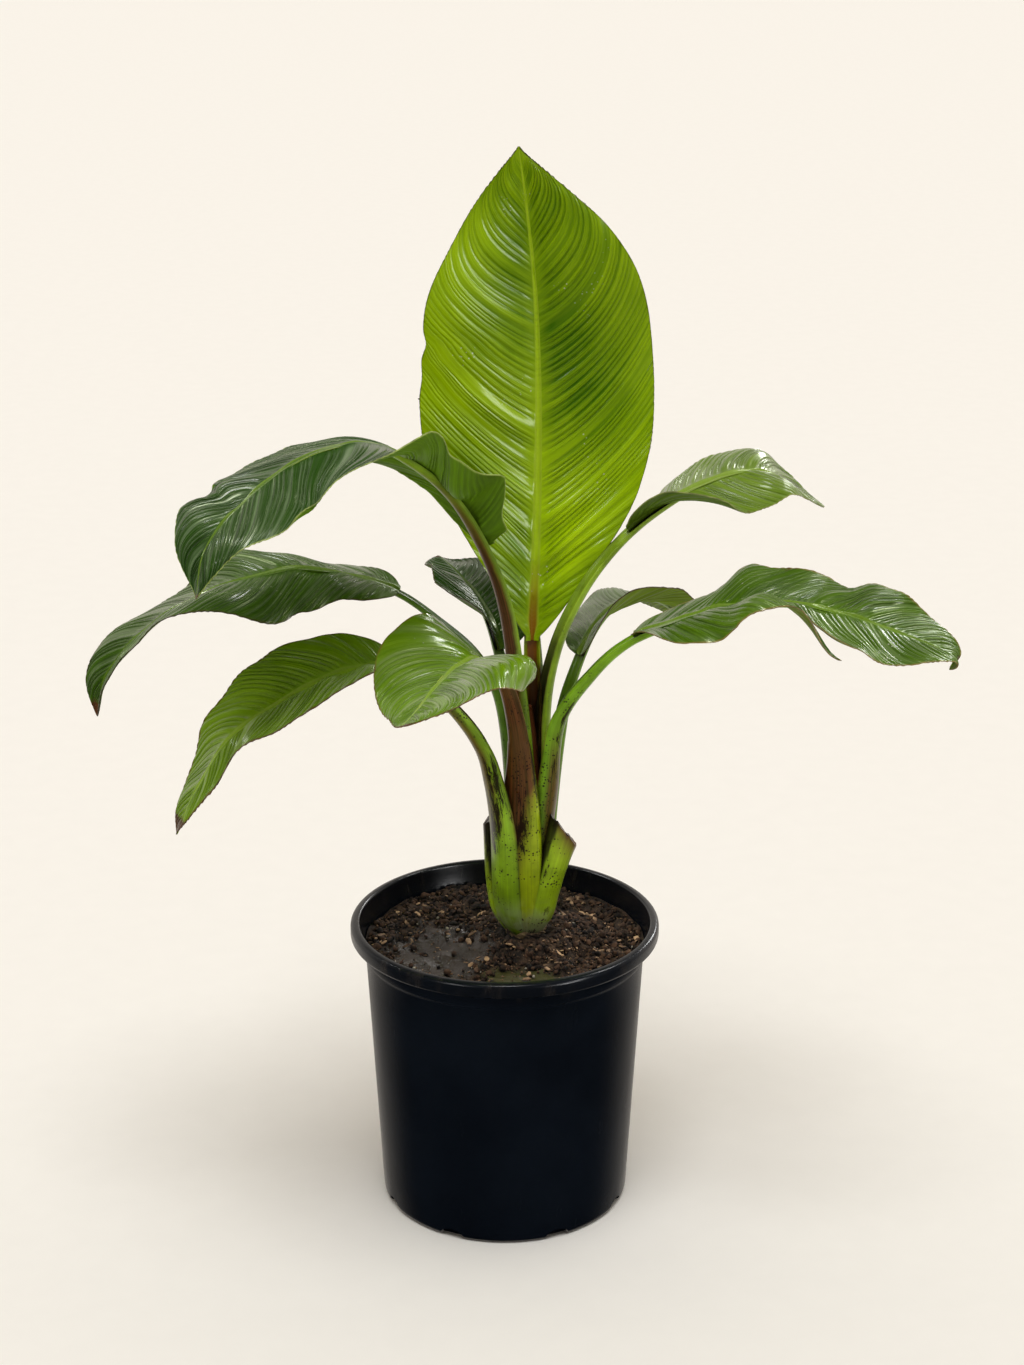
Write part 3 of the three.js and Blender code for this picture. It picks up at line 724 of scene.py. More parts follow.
# card colours (the vein's with its share), then gloss, kinds of wear, how the rib shows, shine and coat
lookColumns = ("dark", "bright", "under", "rib", "vein", "edge",
               "gloss", "flecks", "browning", "ribShare", "dryTip", "shine", "coat", "ribFoot")
bladeLooks = {
    "centre": ((66, 112, 0), (186, 224, 0), (128, 164, 22), (178, 206, 50), (44, 92, 0, 0.3),
        (92, 100, 20), 0.3, 0.8, 0.0, 0.95, 0, 0.22, 0.3, (150, 88, 24)),
    "upperLeft": ((12, 48, 0), (52, 100, 6), (108, 150, 22), (150, 182, 70), (132, 160, 112, 0.55),
        (176, 196, 104), 0.3, 0.5, 0.0, 0.6, 0, 0.5, 0.3),
    "midLeft": ((24, 56, 0), (84, 128, 8), (98, 128, 16), (138, 168, 60), (128, 152, 100, 0.5),
        (70, 62, 24), 0.3, 0.3, 0.9, 0.45, 0.03, 0.6, 0.45),
    "lowerLeft": ((82, 122, 0), (150, 192, 8), (116, 148, 24), (158, 190, 66), (160, 190, 80, 0.35),
        (104, 56, 24), 0.3, 0.2, 1.2, 0.8, 0.055, 0.55, 0.45),
    "front": ((64, 106, 0), (136, 178, 14), (116, 156, 26), (170, 198, 84), (180, 200, 130, 0.45),
        (132, 98, 46), 0.26, 0.4, 0.6, 0.8, 0.012, 0.8, 0.7),
    "upperRight": ((52, 88, 2), (134, 168, 30), (110, 146, 24), (156, 186, 76), (170, 190, 120, 0.35),
        (150, 160, 80), 0.28, 0.4, 0.4, 0.8, 0.01, 0.7, 0.7),
    "right": ((32, 68, 0), (104, 146, 12), (122, 146, 26), (138, 170, 60), (136, 164, 96, 0.45),
        (150, 130, 70), 0.26, 0.9, 0.8, 0.75, 0.02, 0.75, 0.5),
    "backRight": ((26, 60, 2), (92, 134, 16), (124, 154, 24), (150, 178, 66), (150, 170, 120, 0.4),
        (92, 66, 30), 0.3, 0.2, 0.9, 0.7, 0.02, 0.5, 0.4),
    "backLeft": ((12, 48, 2), (54, 104, 12), (96, 130, 16), (130, 160, 56), (110, 140, 80, 0.3),
        (84, 76, 28), 0.3, 0.3, 0.3, 0.5, 0.01, 0.5, 0.4),
    "back": ((14, 48, 2), (58, 102, 12), (100, 136, 20), (140, 168, 60), (110, 140, 80, 0.3),
        (84, 76, 28), 0.3, 0.3, 0.5, 0.5, 0.02, 0.5, 0.3),
}


def veinWaves(skin):  # crests between the main veins, and the fine veins between those
    phase = attributeOf(skin, "phase")
    main = mathNode("COSINE", times(phase, 2 * math.pi))
    main = raised(scaled(main, -0.5, 0.5), 3.0)
    fine = mathNode("COSINE", times(phase, 8 * math.pi))
    fine = raised(scaled(fine, -0.5, 0.5), 2.0)
    relief = attributeOf(skin, "relief")
    return times(main, relief), times(fine, relief)


def bladeSkin(name, look):
    skin, shader = newMaterial(name + "UpperSkin")
    veinMap = mapPlace(skin, "veinMap")
    place = objectPlace(skin)
    main, fine = veinWaves(skin)
    streak = noiseOn(stretched(veinMap, (1.6, 330, 1)), 1.0, 4, 0.6)
    broad = noiseOn(stretched(veinMap, (1.2, 70, 1), (3, 7, 0)), 1.0, 2, 0.5)
    blotch = noiseOn(place, 12.0, 2.5, 0.5)
    # darker in the grooves and paler on the crests between them: painted shade of the ridges
    tone = scaled(fine, -0.1, scaled(main, -0.24, 0.5))
    for pattern, swing in ((broad, 0.09), (streak, 0.1), (blotch, 0.13)):
        tone = plus(tone, ramped(pattern, 0.3, 0.7, -swing, swing))
    # painted light and shade patches make the tone paler or deeper
    tone = plus(tone, attributeOf(skin, "shade"), clamp=True)
    colour = mixed(tone, look["dark"], look["bright"])
    *veinColour, veinShare = look["vein"]
    showing = times(main, ramped(streak, 0.3, 0.6, 0.3 * veinShare, veinShare))
    colour = mixed(showing, colour, veinColour)
    ribGap = attributeOf(skin, "ribGap")
    ribColour = mixed(ramped(ribGap, 0.12, 0.5, 0.55, 0.0), look["rib"], look["bright"])
    ribColour = mixed(ramped(streak, 0.4, 0.7, 0.0, 0.4), ribColour, colour)
    if "ribFoot" in look:  # the midrib's brown lowest part
        foot = ramped(attributeOf(skin, "along"), 0.02, 0.2, 0.95, 0.0)
        foot = times(foot, ramped(ribGap, 0.3, 0.75, 1.0, 0.2))
        ribColour = mixed(foot, ribColour, look["ribFoot"])
    colour = mixed(ramped(ribGap, 0.6, 0.92, look["ribShare"], 0.0), colour, ribColour)
    margin = attributeOf(skin, "margin")
    wear = noiseOn(place, 90.0, 2)
    worn = 1 + 0.8 * look["browning"]
    edgeWidth = ramped(wear, 0.3, 0.7, 0.0007 * worn, 0.0018 * worn)
    nearMargin = ramped(margin, 0.0, edgeWidth, 1.0, 0.0)
    colour = mixed(times(nearMargin, 0.85), colour, look["edge"])
    colour = browned(skin, colour, place, look["browning"], look["dryTip"])
    colour = flecked(colour, place, look["flecks"])
    gloss = scaled(streak, 0.3, look["gloss"] - 0.2)
    gloss = larger(scaled(blotch, 0.3, minus(gloss, 0.12), clamp=True), 0.12)
    shader.inputs["Specular Tint"].default_value = swatch(232, 244, 176)
    height = scaled(streak, 0.3, scaled(fine, -0.4, times(main, -1.0)))
    relief = bumped(height, 0.8, 0.0008)
    grain = noiseOn(stretched(veinMap, (30, 900, 1)), 1.0, 3)
    finish(shader, colour, gloss, bumped(grain, 0.25, 0.0002, relief), look["shine"], (look["coat"], 0.13))
    return skin


def browned(skin, colour, place, amount, dryTip):  # dry brown at the tip and in patches by the margin
    patchy = noiseOn(place, 42.0, 3)
    tip = plus(attributeOf(skin, "along"), ramped(patchy, 0.2, 0.8, -0.02, 0.02))
    tip = ramped(tip, 0.997 - 1.3 * dryTip, 1.004 - dryTip)
    near = ramped(attributeOf(skin, "margin"), 0.0, 0.006, 1.0, 0.0)
    near = times(near, ramped(patchy, 0.74 - 0.1 * amount, 0.8 - 0.1 * amount))
    dry = larger(tip, near, clamp=True)
    dryColour = mixed(patchy, (44, 24, 12), (112, 66, 32))
    return mixed(dry, colour, dryColour)


def flecked(colour, place, amount):  # small pale scars
    spot = ramped(cellsOn(place, 210.0), 0.1, 0.2, 1.0, 0.0)
    group = ramped(noiseOn(place, 17.0, 1), 0.66 - 0.05 * amount, 0.72 - 0.05 * amount)
    spot = times(times(spot, group), min(amount, 0.8))
    return mixed(spot, colour, (214, 216, 190))


def underSkin(name, look):
    skin, shader = newMaterial(name + "UnderSkin")
    veinMap = mapPlace(skin, "veinMap")
    main, fine = veinWaves(skin)
    streak = noiseOn(stretched(veinMap, (1.4, 380, 1)), 1.0, 3, 0.6)
    blotch = noiseOn(objectPlace(skin), 13.0, 2.5)
    tone = scaled(main, 0.25, ramped(streak, 0.3, 0.7, 0.3, 0.6))
    tone = scaled(fine, 0.1, tone)
    tone = plus(tone, ramped(blotch, 0.3, 0.7, -0.15, 0.2), clamp=True)
    deep = tuple(0.55 * part for part in look["under"])
    colour = mixed(tone, deep, look["under"])
    margin = ramped(attributeOf(skin, "margin"), 0.0, 0.0016, 0.8, 0.0)
    colour = mixed(margin, colour, look["edge"])
    height = scaled(fine, 0.3, main)
    finish(shader, colour, scaled(streak, 0.15, 0.4), bumped(height, 0.6, 0.0006), 0.12)
    return skin


def marginSkin(name, look):
    skin, shader = newMaterial(name + "MarginSkin")
    wear = noiseOn(objectPlace(skin), 120.0, 3)
    deep = tuple(0.7 * part for part in look["edge"])
    colour = mixed(ramped(wear, 0.35, 0.65), look["edge"], deep)
    finish(shader, colour, 0.5)
    return skin


# flush: share of brown red, from and to which stage, towards which side and from what turn
stalkLooks = {
    "centre": {"green": (170, 196, 16), "flush": (0.85, 0.4, 1.1, 1, -9), "streaks": 0.1,
               "within": (64, 28, 14), "ribFoot": (150, 84, 26), "channel": 0.95},
    "upperLeft": {"green": (132, 170, 24), "flush": (0.95, 0.4, 2.2, -1, 0.72), "streaks": 0.3},
    "midLeft": {"green": (92, 136, 14), "flush": (0.6, 0.2, 1.3, -1, 0.1), "streaks": 0.5},
    "lowerLeft": {"green": (150, 196, 18), "flush": (0.8, 0.5, 1.7, -1, 0.75), "streaks": 0.8,
                  "spots": [(0.75, 0.78, 0.4, 0.35), (0.9, 0.3, 0.25, 0.12)]},
    "front": {"green": (184, 222, 14), "flush": (0.95, 0.36, 1.9, -1, 1.2), "streaks": 0.6, "tilt": 0.5,
              "spots": [(0.75, 0.28, 0.3, 0.12), (1.0, 0.8, 0.2, 0.35), (0.6, 0.08, 0.5, 0.04)]},
    "upperRight": {"green": (150, 186, 36), "flush": (0.5, 0.4, 1.15, 1, 0.2), "streaks": 0.2},
    "right": {"green": (122, 172, 10), "flush": (0.85, 0.3, 1.05, 1, -0.85), "streaks": 0.9,
              "spots": [(-0.35, 1.2, 0.4, 0.28), (-0.6, 0.9, 0.4, 0.12)]},
    "backRight": {"green": (104, 146, 20), "flush": (0.3, 0.3, 1.2, 1, 0.3), "streaks": 0.3},
    "backLeft": {"green": (96, 136, 18), "flush": (0.6, 0.3, 1.2, 1, -9), "streaks": 0.3},
    "back": {"green": (104, 142, 20), "flush": (0.5, 0.3, 1.2, 1, -9), "streaks": 0.3},
}


def stalkSkin(name, look):
    skin, shader = newMaterial(name + "StalkSkin")
    skinMap = mapPlace(skin, "skinMap")
    place = objectPlace(skin)
    stage = attributeOf(skin, "stage")
    turn = split(skinMap)[0]
    fibre = noiseOn(stretched(skinMap, (14, 9, 1)), 1.0, 4, 0.6)
    blotch = noiseOn(place, 26.0, 3)
    light = tuple(min(255, 1.2 * part + 8) for part in look["green"])
    deep = tuple(0.62 * part for part in look["green"])
    tone = scaled(fibre, 0.7, ramped(blotch, 0.3, 0.7, -0.1, 0.35), clamp=True)
    colour = mixed(tone, deep, light)
    share, start, end, side, edge = look["flush"]
    patch = scaled(blotch, 0.6, -0.3)
    lean = scaled(minus(turn, edge), side, patch)
    grown = plus(scaled(turn, look.get("tilt", 0.3) * side, stage), patch)
    flush = times(ramped(grown, start - 0.2, start + 0.2), ramped(stage, end - 0.25, end + 0.25, 1.0, 0.0))
    flush = times(flush, ramped(lean, -0.22, 0.18))
    brown = mixed(ramped(fibre, 0.3, 0.7), (52, 20, 12), (118, 54, 34))
    colour = mixed(times(flush, share), colour, brown)
    colour = waxed(colour, place, fibre)
    colour = blackened(colour, skinMap, place, stage, look)
    dry = mixed(ramped(blotch, 0.4, 0.6), (40, 24, 12), (118, 78, 44))
    lip = times(attributeOf(skin, "lip"), ramped(stage, 0.9, 1.3, 0.95, 0.3))
    colour = mixed(lip, colour, dry)
    # the inner face takes the near-black within colour, painted shade of the sheath's hollow; in the
    # centre's channel it runs into the midrib's real brown
    inside = attributeOf(skin, "inside")
    within = times(inside, ramped(stage, 0.85, 1.25, 0.9, look.get("channel", 0.1)))
    hollow = look.get("within", (26, 15, 8))
    if "ribFoot" in look:  # the midrib's brown foot runs down the channel, between pale edges
        within = times(within, ramped(mathNode("ABSOLUTE", turn), 0.4, 0.85, 1.0, 0.0))
        hollow = mixed(ramped(stage, 0.8, 1.7), hollow, look["ribFoot"])
    colour = mixed(within, colour, hollow)
    # painted shade darkens the stalk where it meets other pieces
    colour = paintedCreaseShade(colour, 0.009, (26, 16, 8))
    finish(shader, colour, scaled(blotch, 0.25, 0.2), bumped(fibre, 0.3, 0.0006), 0.4, (0.3, 0.2))
    return skin


def paintedCreaseShade(colour, reach, tint):  # painted shade where two pieces meet: ambient occlusion darkens the colour towards the tint
    corner = addNode(colour, "AmbientOcclusion", Distance=reach)
    corner.samples = 4
    return mixed(ramped(corner.outputs["AO"], 0.4, 0.85, 0.92, 0.0), colour, tint)


def farFrom(x, y, middleX, middleY, reachX, reachY):  # squared distance, 1 on an ellipse round the middle
    across = over(minus(x, middleX), reachX)
    along = over(minus(y, middleY), reachY)
    return plus(raised(across, 2.0), raised(along, 2.0))


def waxed(colour, place, fibre):  # whitish bloom low on the stem
    height = split(place)[2]
    bloom = ramped(height, 0.28, 0.33, 0.95, 0.0)
    bloom = times(bloom, ramped(noiseOn(place, 40.0, 3), 0.35, 0.6))
    bloom = times(bloom, ramped(fibre, 0.3, 0.7, 0.6, 1.0))
    return mixed(bloom, colour, (200, 216, 172))


def blackened(colour, skinMap, place, stage, look):  # black streaks along the fibres, and specks
    amount = look["streaks"]
    turn = split(skinMap)[0]
    streak = noiseOn(stretched(skinMap, (9, 60, 1), (1, 4, 0)), 1.0, 7, 0.82, 0.5)
    group = noiseOn(stretched(skinMap, (1.6, 9, 1), (8, 2, 0)), 1.0, 2)
    mask = plus(streak, scaled(group, 0.9, -0.45))
    for middleTurn, middleStage, turnReach, stageReach in look.get("spots", []):
        far = farFrom(turn, stage, middleTurn, middleStage, turnReach, stageReach)
        mask = scaled(ramped(far, 0.1, 1.0, 1.0, 0.0), 0.13, mask)
    mask = ramped(mask, 0.72 - 0.1 * amount, 0.75 - 0.1 * amount)
    cells = cellsOn(place, 330.0)
    size = ramped(noiseOn(place, 120.0, 1), 0.35, 0.7, 0.14, 0.38)
    speck = ramped(minus(cells, size), -0.06, 0.04, 1.0, 0.0)
    speckGroup = ramped(noiseOn(place, 55.0, 2), 0.47, 0.52)
    speck = times(speck, speckGroup)
    mask = larger(mask, times(speck, min(1.0, 1.6 * amount)))
    mask = times(mask, ramped(stage, 1.2, 1.9, 1.0, 0.1))
    stain = mixed(noiseOn(place, 150.0, 2), (10, 8, 4), (52, 22, 8))
    return mixed(times(mask, 0.95), colour, stain)


def growLeaf(name, leaf, seed):
    look = dict(zip(lookColumns, bladeLooks[name]))
    blade = growBlade(name, leaf, seed)
    thicken(blade, [bladeSkin(name, look), underSkin(name, look), marginSkin(name, look)])
    settle(blade, "youngLeaf" if name == "centre" else "oldLeaf", name + "Blade")
    stalk = growStalk(name, leaf, sheaths[name])
    dressed(stalk, stalkSkin(name, stalkLooks[name]))
    settle(stalk, "stalk", name + "Stalk")


for seed, (name, leaf) in enumerate(leaves.items()):
    growLeaf(name, leaf, 20 + 7 * seed)
print("leaves grown:", len(leaves))

stemHeart = {
    "heights": [-10, 6, 40, 90, 140, 190, 232],  # above the foot
    "radii": [17.5, 18, 18, 17.5, 15.5, 12, 6],
    "sides": 40,
}


def roundRings(settings, wobble, seed):
    footX, footY, footZ = stem["foot"]
    heights = keyed(settings["heights"], np.linspace(0, 1, 40))
    radii = keyed(settings["radii"], np.linspace(0, 1, 40))
    angle = np.linspace(0, 2 * np.pi, settings["sides"], endpoint=False)
    rings, marks = [], []
    for k, (height, radius) in enumerate(zip(heights, radii)):
        rough = 1 + wobble * wander(angle / 2 / np.pi * 6 + 0.04 * k, seed, 6, 4)
        x = footX + radius * rough * np.cos(angle)
        y = footY + radius * rough * np.sin(angle)
        rings.append(narrowed(np.stack([x, y, np.full_like(x, footZ + height)], 1)))
        turn = angle / np.pi - 1
        marks.append(np.stack([turn, turn * 0 + height * mm, turn * 0, turn * 0, turn * 0], 1))
    return rings, marks


def growHeart():
    rings, marks = roundRings(stemHeart, 0.02, 5)
    heart = loft("stemHeart", rings, 60)
    markSkin(heart, marks)
    look = {"green": (92, 110, 38), "flush": (0.9, -1.0, 3.0, 1, -9), "streaks": 0.9}
    dressed(heart, stalkSkin("stemHeart", look))
    settle(heart, "stem", "pseudostem")


rootCollar = {"heights": [-10, -4, 0, 4, 7], "radii": [34, 33, 32, 29, 22], "sides": 90}


def growCollar():
    rings, marks = roundRings(rootCollar, 0.05, 9)
    collar = loft("rootCollar", rings, 50)
    markSkin(collar, marks)
    skin, shader = newMaterial("collarPaper")
    place = objectPlace(skin)
    fibre = noiseOn(stretched(mapPlace(skin, "skinMap"), (22, 30, 1)), 1.0, 4)
    colour = mixed(fibre, (96, 70, 42), (190, 168, 122))
    colour = mixed(ramped(noiseOn(place, 90.0, 3), 0.45, 0.6), colour, (60, 42, 26))
    finish(shader, colour, 0.85, bumped(fibre, 0.7, 0.0015))
    dressed(collar, skin)
    settle(collar, "stem")


stubs = {
    "leftStub": {
        "path": [[4, 1, -12], [-7, 4, 52], [-10, 5, 119]], "facing": 136,
        "breadth": [15, 12, 11.5], "depth": [9, 10, 10], "wall": [5, 4, 2.6], "wings": [6, 8],
        "cut": [-0.9, 0.1, 1], "hollowFrom": 1.2, "spots": [],
    },
    "rightStub": {
        "path": [[29, -12, -12], [40, -20, 50], [56, -21, 115]], "facing": -52,
        "breadth": [15, 14, 13], "depth": [10, 11, 12], "wall": [5, 4, 3], "wings": [8, 5],
        "cut": [1.35, 0.2, 1], "hollowFrom": -1,
        "spots": [(-0.2, 0.33, 0.35, 0.06), (-0.5, 0.13, 0.6, 0.05), (-0.5, 0.6, 0.3, 0.1)],
    },
}


def growStub(name, shape):
    path = np.array(shape["path"], float) + [0, 0, stem["foot"][2]]
    shares = np.linspace(0, 1, 34)
    centre = keyed(path, shares)
    angle = math.radians(shape["facing"])
    outward = np.array([math.cos(angle), math.sin(angle), 0])
    across = np.array([-math.sin(angle), math.cos(angle), 0])
    cut = np.array(shape["cut"], float)
    rings, marks = [], []
    for share, middle in zip(shares, centre):
        breadth, depth, wall = (float(keyed(shape[key], share)) for key in ("breadth", "depth", "wall"))
        x, y, turn, isInner, lip = crescent(breadth, depth, wall, depth - wall, shape["wings"])
        ring = middle + x[:, None] * across - y[:, None] * outward
        offset = ring - middle
        slant = -(offset[:, 0] * cut[0] + offset[:, 1] * cut[1]) / cut[2]
        ragged = 1.6 * wander(turn * 2 + 0.3 * isInner, 31, 7, 5)
        ring[:, 2] += (slant + ragged) * share**3
        rings.append(narrowed(ring))
        near = np.full(len(x), share * 0.9)
        # past this turn the outer face is marked as inside and takes the near-black inner colour: a painted
        # shade band for the hollow
        hollowFrom = shape["hollowFrom"] * (1.05 - 0.5 * share**2)
        paintedShadeBand = smoothStep(turn * np.sign(hollowFrom), abs(hollowFrom), abs(hollowFrom) + 0.08)
        isInner = np.maximum(isInner, paintedShadeBand * smoothStep(np.array(share), 0.1, 0.3))
        dry = np.maximum(lip, share**10)
        marks.append(np.stack([turn, ring[:, 2] * mm, near, isInner, dry], 1))
    stub = loft(name + "Sheath", rings, 50)
    markSkin(stub, marks)
    # the near-black within colour is painted shade inside the cut sheath
    look = {"green": (168, 208, 12), "flush": (0.5, 0.85, 2.0, 1, -9), "streaks": 0.8,
            "spots": shape["spots"], "within": (18, 11, 7)}
    dressed(stub, stalkSkin(name, look))
    settle(stub, "stub", name)


growHeart()
growCollar()
for name, shape in stubs.items():
    growStub(name, shape)
print("stem and cut sheaths grown")


def turnedSolid(name, profile, sides):  # a disc drawn up, out and in along a profile of radius and height
    deselectAll()
    radius, height = profile[0]
    bpy.ops.mesh.primitive_circle_add(
        vertices=sides, radius=radius * mm, fill_type="NGON", location=(0, 0, height * mm)
    )
    piece = bpy.context.object
    piece.name = name
    bpy.ops.object.transform_apply(location=True, rotation=True, scale=True)
    bpy.ops.object.mode_set(mode="EDIT")
    bpy.ops.mesh.select_all(action="SELECT")
    for newRadius, newHeight in profile[1:]:
        rise = (0, 0, (newHeight - height) * mm)
        bpy.ops.mesh.extrude_region_move(TRANSFORM_OT_translate={"value": rise})
        grow = newRadius / radius
        bpy.ops.transform.resize(value=(grow, grow, 1), center_override=(0, 0, newHeight * mm))
        radius, height = newRadius, newHeight
    bpy.ops.mesh.select_all(action="SELECT")
    bpy.ops.mesh.normals_make_consistent(inside=False)
    bpy.ops.object.mode_set(mode="OBJECT")
    return piece


def arc(middleRadius, middleHeight, radius, start, end, steps):
    angles = np.radians(np.linspace(start, end, steps))
    return [(middleRadius + radius * math.cos(a), middleHeight + radius * math.sin(a)) for a in angles]


nurseryPot = {
    "sides": 144,
    "height": 290,
    "rimRadius": 150,
    "lipHeight": 17,
    "footRadius": 121,
    "notchCount": 8,
    "notchFromAxis": 25,
    "notchWidth": 26,
    "notchHeight": 10,
    "notchDepth": 18,
}


def potProfile():
    top, rim = nurseryPot["height"], nurseryPot["rimRadius"]
    foot = arc(114.6, 6.9, 6.9, -90, -3, 6)
    wall = [(122.9, 32), (126.4, 95), (130.3, 165), (134.1, 233), (135.4, 256)]
    shoulder = [(135.9, 258.2), (137.6, 259.9), (138.5, 261.4), (138.8, 267), (139, top - 15.8)]
    underLip = [(139.7, top - 15.2), (146.2, top - 15.2)]
    lip = arc(rim - 3.4, top - 11.6, 3.4, -82, 0, 6) + arc(rim - 4.4, top - 4.8, 4.4, 0, 90, 7)
    inner = arc(143.6, top - 2.8, 2.8, 95, 178, 5)
    inside = [(140.2, top - 8), (137.2, 267), (134.4, 259), (133.2, 255), (126, 130), (118.6, 12)]
    floor = arc(114.6, 8, 4, -5, -88, 4) + [(100, 4), (40, 4), (8, 4)]
    return foot + wall + shoulder + underLip + lip + inner + inside + floor


def cutNotches(pot):
    grow = nurseryPot
    foot = grow["footRadius"]
    for i in range(grow["notchCount"]):
        turn = 90 * (i // 2) + (1 if i % 2 == 0 else -1) * grow["notchFromAxis"]
        angle = math.radians(turn)
        deselectAll()
        bpy.ops.mesh.primitive_cylinder_add(
            vertices=28, radius=grow["notchWidth"] / 2 * mm, depth=grow["notchDepth"] * mm,
            location=(foot * mm * math.cos(angle), foot * mm * math.sin(angle), 0),
            rotation=(0, math.radians(90), angle),
        )
        cutter = bpy.context.object
        cutter.scale = (2 * grow["notchHeight"] / grow["notchWidth"], 1, 1)
        bpy.ops.object.transform_apply(location=True, rotation=True, scale=True)
        addModifier(pot, "BOOLEAN", object=cutter, operation="DIFFERENCE", solver="EXACT")
        bpy.data.objects.remove(cutter)


def potPlastic(name, gloss):
    skin, shader = newMaterial(name)
    place = objectPlace(skin)
    scuff = noiseOn(stretched(place, (1, 1, 0.25)), 55.0, 5, 0.65)
    cloud = noiseOn(place, 9.0, 3)
    colour = mixed(ramped(cloud, 0.3, 0.7), (11, 16, 24), (16, 22, 31))
    height = split(place)[2]
    dusty = times(ramped(height, 0.262, 0.28), ramped(scuff, 0.5, 0.75, 0, 0.22))
    colour = mixed(dusty, colour, (92, 80, 66))
    pebble = noiseOn(place, 620.0, 2)
    relief = bumped(pebble, 0.12, 0.0004, bumped(cloud, 0.25, 0.002))
    finish(shader, colour, scaled(scuff, 0.2, 0.14), relief, gloss)
    return skin


def makePot():
    pot = turnedSolid("nurseryPot", potProfile(), nurseryPot["sides"])
    cutNotches(pot)
    smoothed(pot, 38)
    dressed(pot, potPlastic("potPlastic", 0.04), potPlastic("lipPlastic", 0.4))
    lipFrom = (nurseryPot["height"] - nurseryPot["lipHeight"]) * mm
    for face in pot.data.polygons:
        if face.center.z > lipFrom and face.center.xy.length > 0.138:
            face.material_index = 1
    settle(pot, "pot", "pot")


makePot()
print("pot made")

soilBed = {
    "sides": 300,
    "level": 266,
    "moundHeight": 11,
    "moundReach": 62,
    "ringStep": 2.2,
    "edge": 136.2,
    "wetPatches": [(-64, -26, 62, 84), (14, -86, 44, 32)],  # middle and reach
}


def soilHeight(x, y):
    footX, footY, _ = stem["foot"]
    fromStem = np.hypot(x - footX, y - footY)
    lumps = 2.2 * np.sin(0.09 * x + 0.05 * y) + 1.8 * np.sin(0.13 * y - 0.07 * x + 1.3)
    lumps += 1.3 * np.sin(0.21 * x + 0.17 * y + 0.6)
    blend = smoothStep(fromStem, 38, soilBed["moundReach"])
    settled = 1 - smoothStep(np.hypot(x, y), 95, 136)
    return soilBed["level"] + soilBed["moundHeight"] * (1 - blend) + lumps * blend * (0.4 + 0.6 * settled)


def wetness(x, y):  # 1 in the wet patch and in the mossy one, 0 on dry soil
    patches = []
    for middleX, middleY, reachX, reachY in soilBed["wetPatches"]:
        patches.append(smoothStep(np.hypot((x - middleX) / reachX, (y - middleY) / reachY), 1.0, 0.55))
    return np.maximum(*patches)


def crumbly(x, y):  # clods and pits of the soil's face, flat where it is wet
    rough = np.array([noise.fractal(Vector((a / 9, b / 9, 2)), 0.7, 2.1, 4) for a, b in zip(x, y)])
    wet = wetness(x, y)
    return rough * (3.6 - 3.1 * wet) - 1.2 * wet


def makeSoil():
    low, edge = 4.4, soilBed["edge"]
    side = [(108, low), (114.2, 5), (118.1, 12.4), (132.4, 255.5), (edge, soilBed["level"] - 1.4)]
    radii = np.arange(edge - soilBed["ringStep"], 2, -soilBed["ringStep"])
    soil = turnedSolid("soilBed", side + [(radius, soilBed["level"]) for radius in radii], soilBed["sides"])
    places = np.array([v.co for v in soil.data.vertices]) / mm
    top = places[:, 2] > soilBed["level"] - 2
    x, y = places[top, 0], places[top, 1]
    places[top, 2] = soilHeight(x, y) + crumbly(x, y) * smoothStep(np.hypot(x, y), edge + 1, edge - 8)
    soil.data.vertices.foreach_set("co", (places * mm).ravel())
    soil.data.update()
    smoothed(soil, 50)
    dressed(soil, soilEarth())
    settle(soil, "soil", "soil")


def soilEarth():
    skin, shader = newMaterial("soilEarth")
    place = objectPlace(skin)
    grain = noiseOn(place, 260.0, 4, 0.7)
    clod = noiseOn(place, 60.0, 4, 0.6)
    colour = mixed(ramped(clod, 0.3, 0.7), (34, 24, 17), (92, 70, 52))
    colour = mixed(ramped(grain, 0.55, 0.75), colour, (128, 98, 72))
    x, y, _ = split(place)
    shares = []
    for middleX, middleY, reachX, reachY in soilBed["wetPatches"]:
        far = farFrom(x, y, middleX * mm, middleY * mm, reachX * mm, reachY * mm)
        far = plus(far, scaled(clod, 0.7, -0.35))
        shares.append(ramped(far, 0.45, 0.95, 1.0, 0.0))
    wet, moss = shares
    colour = mixed(times(wet, 0.8), colour, (64, 54, 46))
    mossColour = mixed(grain, (40, 36, 10), (104, 104, 34))
    colour = mixed(times(moss, 0.85), colour, mossColour)
    # painted shade darkens the soil in the gaps between clods and where it meets the stem
    colour = paintedCreaseShade(colour, 0.009, (9, 6, 4))
    damp = larger(wet, times(moss, 0.6))
    relief = bumped(grain, 0.8, 0.002, bumped(clod, 0.6, 0.004))
    finish(shader, colour, ramped(damp, 0.0, 1.0, 0.9, 0.26), relief)
    return skin


def shapeOf(kind, **settings):  # vertices and faces of a primitive, taken as a pattern for grains
    deselectAll()
    getattr(bpy.ops.mesh, "primitive_" + kind + "_add")(**settings)
    pattern = bpy.context.object
    places = np.array([v.co for v in pattern.data.vertices])
    faces = [list(face.vertices) for face in pattern.data.polygons]
    bpy.data.objects.remove(pattern)
    return places, faces


